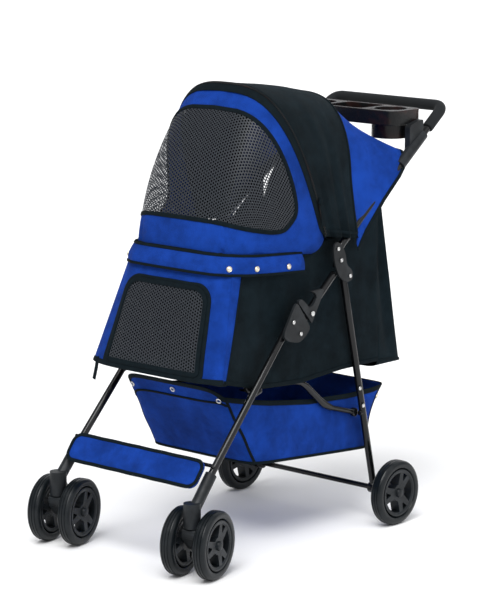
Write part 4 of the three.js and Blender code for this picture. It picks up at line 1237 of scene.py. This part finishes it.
class StrollerTubes(bpy.types.Operator):
    """Round tubes of the frame: legs, upper tubes, handle, links, hoops and rods."""

    bl_idname = "stroller.tubes"
    bl_label = "Frame tubes"

    def execute(self, context):
        for word, s in SIDES:
            link_front, link_rear = (-0.178, 0.300), (0.188, 0.187)
            link_half = 0.161
            on_leg = leg_point(s, (0.292 - 0.073) / (0.427 - 0.073))
            pivot = np.array([on_leg[0], *link_front])
            parts = [rod(leg_point(s, 0), leg_point(s, 1), TUBE, 24),
                     rod((s * (link_half + 0.007), *link_front), pivot, 0.007), rod(on_leg, pivot, 0.006),
                     rod((s * (link_half - 0.009), *link_front), pivot, 0.0035)]
            leg = joined(f"front_leg_tube_{word}", parts, "black_tube", "front_frame")
            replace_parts(leg, f"front_leg_{word}")
            knee, foot = (-0.060, 0.411), (-0.038, 0.432)
            parts = [rod((s * KNEE_HALF, *foot), (s * KNEE_HALF, 0.072, 0.527), UPPER_TUBE, 24),
                     rod((s * KNEE_HALF, *knee), (s * KNEE_HALF, *foot), 0.007),
                     rod((s * (KNEE_HALF - UPPER_TUBE), *knee), (s * (KNEE_HALF + UPPER_TUBE), *knee), 0.011, 28)]
            upper = joined(f"upper_tube_bar_{word}", parts, "black_tube", "upper_frame")
            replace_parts(upper, f"upper_tube_{word}")
            bends = (link_front, (0.002, 0.288), (0.076, 0.226), (0.104, 0.211), link_rear)
            link = rounded_path([(s * link_half, *bend) for bend in bends], 0.03)
            eyes = [rod((s * link_half - 0.006, *at), (s * link_half + 0.006, *at), 0.010, 24)
                    for at in (link_front, link_rear)]
            place = np.linspace(0, 1, len(link))
            flat = 0.006 + 0.0026 * np.clip(1 - np.abs(place - 0.55) / 0.35, 0, 1) ** 0.5
            bar = joined(f"floor_link_bar_{word}", [swept(link, (1, 0, 0), flat, 0.006, 20), *eyes], "black_tube",
                         "cabin_floor")
            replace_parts(bar, f"floor_link_{word}")
            top, bottom = np.array([s * 0.184, 0.110, 0.530]), np.array([s * 0.174, 0.250, 0.0])
            lug = bottom + (top - bottom) * (link_rear[1] / top[2])
            parts = [rod(bottom, top, TUBE, 24), rod(lug, (lug[0], *link_rear), 0.006),
                     rod((s * 0.163, 0.250, 0), (s * 0.187, 0.250, 0), 0.013, 28)]
            rear = joined(f"rear_leg_tube_{word}", parts, "black_tube", "rear_frame")
            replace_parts(rear, f"rear_leg_{word}")
            rivets(f"leg_rivets_{word}", [(0.2095, -0.350, 0.133)], "front_frame", s)
            rivets(f"rear_leg_rivets_{word}", [(0.1885, 0.176, 0.248), (0.1895, 0.188, 0.206)], "rear_frame", s)
        self.bars()
        self.handle()
        return {"FINISHED"}

    def bars(self):
        """The cross rods, the two hood arches and the rim wire."""
        rods = {
            "footrest_rod": ((0.207, -0.340, 0.163), 0.004, "front_frame"),
            "floor_bar": ((0.1547, -0.120, 0.296), 0.005, "cabin_floor"),
            "rear_axle": ((0.188, 0.250, 0.0), 0.006, "rear_frame"),
        }
        for node, ((half, y, z), radius, body) in rods.items():
            parts = [rod((-half, y, z), (half, y, z), radius, 20)]
            if node == "rear_axle":
                parts.append(rod((-0.2535, y, z), (0.2535, y, z), 0.005, 20))
            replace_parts(joined(f"{node}_bar", parts, "black_tube", body), node)
        line = np.linspace(0, 1, 120)
        for node, arch, push, body in (("cover_hoop", zip_arch, -0.001, "front_cover"),
                                       ("canopy_bow", seam_arch, -0.012, "upper_frame")):
            path = arch(line) + np.array([0, push, 0])
            path[:, 0] = np.clip(path[:, 0], -0.184, 0.184)
            path += unit(HOOD_MIDDLE - path) * 0.0095
            hoop = joined(f"{node}_wire", [swept(path, (0, 1, 0), 0.0025, 0.0025, 12)], "black_tube", body)
            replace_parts(hoop, node)
        half = 0.1585
        corners = [(half, 0.058, 0.562), (half, 0.010, 0.562), (0.138, -0.222, 0.585), (-0.138, -0.222, 0.585),
                   (-half, 0.010, 0.562), (-half, 0.058, 0.562)]
        wire = joined("rim_wire_bar", [swept(rounded_path(corners, 0.03), (0, 0, 1), 0.0025, 0.0025, 12)], "steel",
                      "upper_frame")
        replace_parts(wire, "rim_wire")

    def handle(self):
        """The U-shaped handle and its foam grip."""
        start = (0.080, 0.539)
        corners = [(KNEE_HALF, *start), (KNEE_HALF, *ARM_START), arm_point(1, 1), arm_point(-1, 1),
                   (-KNEE_HALF, *ARM_START), (-KNEE_HALF, *start)]
        normal = unit(np.cross(arm_point(1, 1) - arm_point(1, 0), (1.0, 0.0, 0.0)))
        tube = joined("handle_bar", [swept(rounded_path(corners, 0.026, 14), normal, UPPER_TUBE, UPPER_TUBE, 28)],
                      "black_tube", "upper_frame")
        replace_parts(tube, "handle_tube")
        route = rounded_path([arm_point(1, 0.84), arm_point(1, 1), arm_point(-1, 1), arm_point(-1, 0.84)], 0.026, 18)
        fine = np.vstack([route[:1], route[:1] + unit(route[1:2] - route[:1]) * 0.002, route[1:-1],
                          route[-1:] + unit(route[-2:-1] - route[-1:]) * 0.002, route[-1:]])
        radius = np.full(len(fine), 0.0130)
        radius[[0, -1]] = 0.0115
        grip = joined("handle_foam", [swept(fine, normal, radius, radius, 36)], "foam", "upper_frame")
        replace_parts(grip, "handle_grip")


class StrollerFittings(bpy.types.Operator):
    """Moulded plastic fittings with rounded edges: knees, levers, brackets, sockets, clamps, tray and pedals."""

    bl_idname = "stroller.fittings"
    bl_label = "Plastic fittings"

    def execute(self, context):
        for word, s in SIDES:
            for name, node, width, body in (("knee_cheek", "knee_shell", 0.0016, "front_frame"),
                                            ("release_lever", "knee_lever", 0.0018, f"knee_release_{word}"),
                                            ("bracket_plate", "side_bracket", 0.0012, "upper_frame"),
                                            ("tray_sleeve", "tray_clamp", 0.0012, "upper_frame"),
                                            ("leg_socket", "caster_socket", 0.0014, "front_frame"),
                                            ("caster_block", "caster_fork", 0.0016, f"caster_{word}"),
                                            ("pedal", "brake_pedal", 0.0016, f"brake_{word}")):
                smoothed(f"{name}_{word}", f"{node}_{word}", width, "black_plastic", body)
            smoothed(f"lever_pin_{word}", f"lever_rivet_{word}", 0.0008, "steel", "upper_frame")
            rivets(f"knee_rivets_{word}", [(0.2110, -0.085, 0.440), (0.2110, -0.060, 0.411)], "front_frame", s)
            rivets(f"bracket_rivets_{word}", [(0.2068, 0.070, 0.584), (0.2068, 0.081, 0.557), (0.2068, 0.113, 0.518)],
                   "upper_frame", s)
        smoothed("tray_shell", "tray", 0.0025, "black_plastic", "upper_frame", "tray_plastic")
        return {"FINISHED"}


# ---------- the wheels ----------
class StrollerWheels(bpy.types.Operator):
    """Six wheels: grooved tyres, hubs with rounded arms, a rim lip and a cap over each axle end."""

    bl_idname = "stroller.wheels"
    bl_label = "Wheels"

    def execute(self, context):
        wheels = [(f"rear_{word}", f"rear_wheel_{word}", s, (1.0, 0.0, 0.0)) for word, s in SIDES]
        turned = np.array([0.97113, 0.23853, 0.0])
        for word, s in SIDES:
            wheels.append((f"caster_{word}_outer", f"caster_wheel_{word}_outer", s, turned))
            wheels.append((f"caster_{word}_inner", f"caster_wheel_{word}_inner", -s, turned))
        for prefix, body, outer, axis in wheels:
            self.wheel(prefix, body, outer, np.array(axis))
        return {"FINISHED"}

    def wheel(self, prefix, body, outer, axis):
        """One wheel about its axis, with a cap on its outer side only."""
        low, high = (np.array(corner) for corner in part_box(f"{prefix}_tyre"))
        centre = (low + high) / 2 - ORIGIN
        half, radius, rim = 0.0153, WHEEL_RADIUS, 0.0553
        outline = [(-half * 0.62, rim), (-half * 0.95, rim + 0.004), (-half, radius - 0.011),
                   (-half * 0.93, radius - 0.005), (-half * 0.70, radius - 0.0012)]
        grooves = []
        for middle in (-0.45, 0.0, 0.45):
            for place, depth in ((-0.09, 0.0), (-0.05, 0.0014), (0.05, 0.0014), (0.09, 0.0)):
                grooves.append((half * (middle + place), radius - depth - 0.0006 * abs(middle)))
        mirrored = [(-x, r) for x, r in reversed(outline)]
        tread = revolved(outline + grooves + mirrored, centre, axis, sizes().around)
        tyre = joined(f"{prefix}_rubber", [tread], "tyre", body)
        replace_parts(tyre, f"{prefix}_tyre")
        smoothed(f"{prefix}_disc", f"{prefix}_hub", 0.0014, "hub_plastic", body, limit=24)
        lip = [(0.0100, 0.0475), (0.0128, 0.0480), (0.0142, 0.0510), (0.0138, 0.0545), (0.0118, 0.0552),
               (0.0100, 0.0545)]
        cap = [(0.0105, 1e-5), (0.0105, 0.0105), (0.0150, 0.0105), (0.0175, 0.0092), (0.0186, 0.0060), (0.0190, 1e-5)]
        parts = [revolved(np.array(profile) * (side, 1), centre, axis, 64)
                 for side in (1, -1) for profile in (lip, cap) if not (profile is cap and side != outer)]
        joined(f"{prefix}_trim", parts, "hub_plastic", body)


# ---------- the stage ----------
class StrollerStage(bpy.types.Operator):
    """Pale floor, soft studio lights, pale surroundings and the camera."""

    bl_idname = "stroller.stage"
    bl_label = "Stage"

    def execute(self, context):
        size = 40.0
        points = np.array([(-size, -size, 0), (size, -size, 0), (size, size, 0), (-size, size, 0)], dtype=float)
        mesh = bpy.data.meshes.new("floor")
        mesh.from_pydata(points.tolist(), [], [(0, 1, 2, 3)])
        mesh.materials.append(finish("floor"))
        placed("floor", mesh)
        self.surroundings()
        self.sun("key", (0.5, -1.1, 1.9), 2.9, 38)
        self.sun("fill", (1.5, 0.1, 0.9), 0.9, 70)
        self.sun("back", (-0.6, 1.6, 1.2), 0.7, 50)
        self.camera()
        return {"FINISHED"}

    def surroundings(self):
        """An even, pale sky and plain colour handling."""
        world = bpy.data.worlds.new("surroundings")
        world.use_nodes = True
        background = world.node_tree.nodes["Background"]
        background.inputs["Color"].default_value = (0.96, 0.97, 1.0, 1.0)
        background.inputs["Strength"].default_value = 0.50
        bpy.context.scene.world = world
        bpy.context.scene.view_settings.view_transform = "Standard"

    def sun(self, name, towards, strength, spread_angle):
        """A soft, wide sun that shines from a direction."""
        data = bpy.data.lights.new(name, "SUN")
        data.angle = math.radians(spread_angle)
        data.energy = strength
        lamp = placed(name, data)
        lamp.matrix_world = (-Vector(towards)).to_track_quat("-Z", "Y").to_matrix().to_4x4()

    def camera(self):
        """A long lens in front and to the stroller's left, a little above it."""
        azimuth, height, roll = math.radians(41.4), math.radians(10.45), math.radians(0.5)
        distance = 5.95
        back = np.array([math.sin(azimuth) * math.cos(height), -math.cos(azimuth) * math.cos(height),
                         math.sin(height)])
        right = np.array([math.cos(azimuth), math.sin(azimuth), 0])
        up = np.cross(back, right)
        side = math.cos(roll) * right + math.sin(roll) * up
        top = -math.sin(roll) * right + math.cos(roll) * up
        place = np.array([0.0, ORIGIN[1], 0.5266]) + back * distance
        data = bpy.data.cameras.new("camera")
        data.lens = 158.2
        data.sensor_width = 36.0
        data.sensor_fit = "AUTO"
        data.clip_end = 100
        eye = placed("camera", data)
        turn = Matrix([[side[k], top[k], back[k]] for k in range(3)])
        eye.matrix_world = Matrix.Translation(Vector(place)) @ turn.to_4x4()
        bpy.context.scene.camera = eye


class VIEW3D_PT_stroller(bpy.types.Panel):
    """Lists the sizes, the colours and the steps."""

    bl_label = "Pet stroller"
    bl_idname = "VIEW3D_PT_stroller"
    bl_space_type = "VIEW_3D"
    bl_region_type = "UI"
    bl_category = "Stroller"

    def draw(self, context):
        layout = self.layout
        for group in (context.scene.stroller_sizes, context.scene.stroller_colours):
            for name in group.bl_rna.properties.keys():
                if name not in ("rna_type", "name"):
                    layout.prop(group, name)
        for step in STEPS:
            layout.operator(step.bl_idname)


STEPS = (StrollerStage, StrollerTubes, StrollerFittings, StrollerWheels, StrollerHoodFront, StrollerRimFlap,
         StrollerHoodBack, StrollerCabin, StrollerFloorPad, StrollerPocket, StrollerBasket, StrollerFootrest)
CLASSES = (StrollerSizes, StrollerColours, *STEPS, VIEW3D_PT_stroller)


def register():
    """Registers the classes and hangs both settings on the scene."""
    for item in CLASSES:
        bpy.utils.register_class(item)
    bpy.types.Scene.stroller_sizes = PointerProperty(type=StrollerSizes)
    bpy.types.Scene.stroller_colours = PointerProperty(type=StrollerColours)


def unregister():
    """Undoes register."""
    del bpy.types.Scene.stroller_colours
    del bpy.types.Scene.stroller_sizes
    for item in reversed(CLASSES):
        bpy.utils.unregister_class(item)


def main():
    """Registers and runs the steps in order."""
    register()
    for step in STEPS:
        group, name = step.bl_idname.split(".")
        getattr(getattr(bpy.ops, group), name)()


if __name__ == "__main__":
    main()
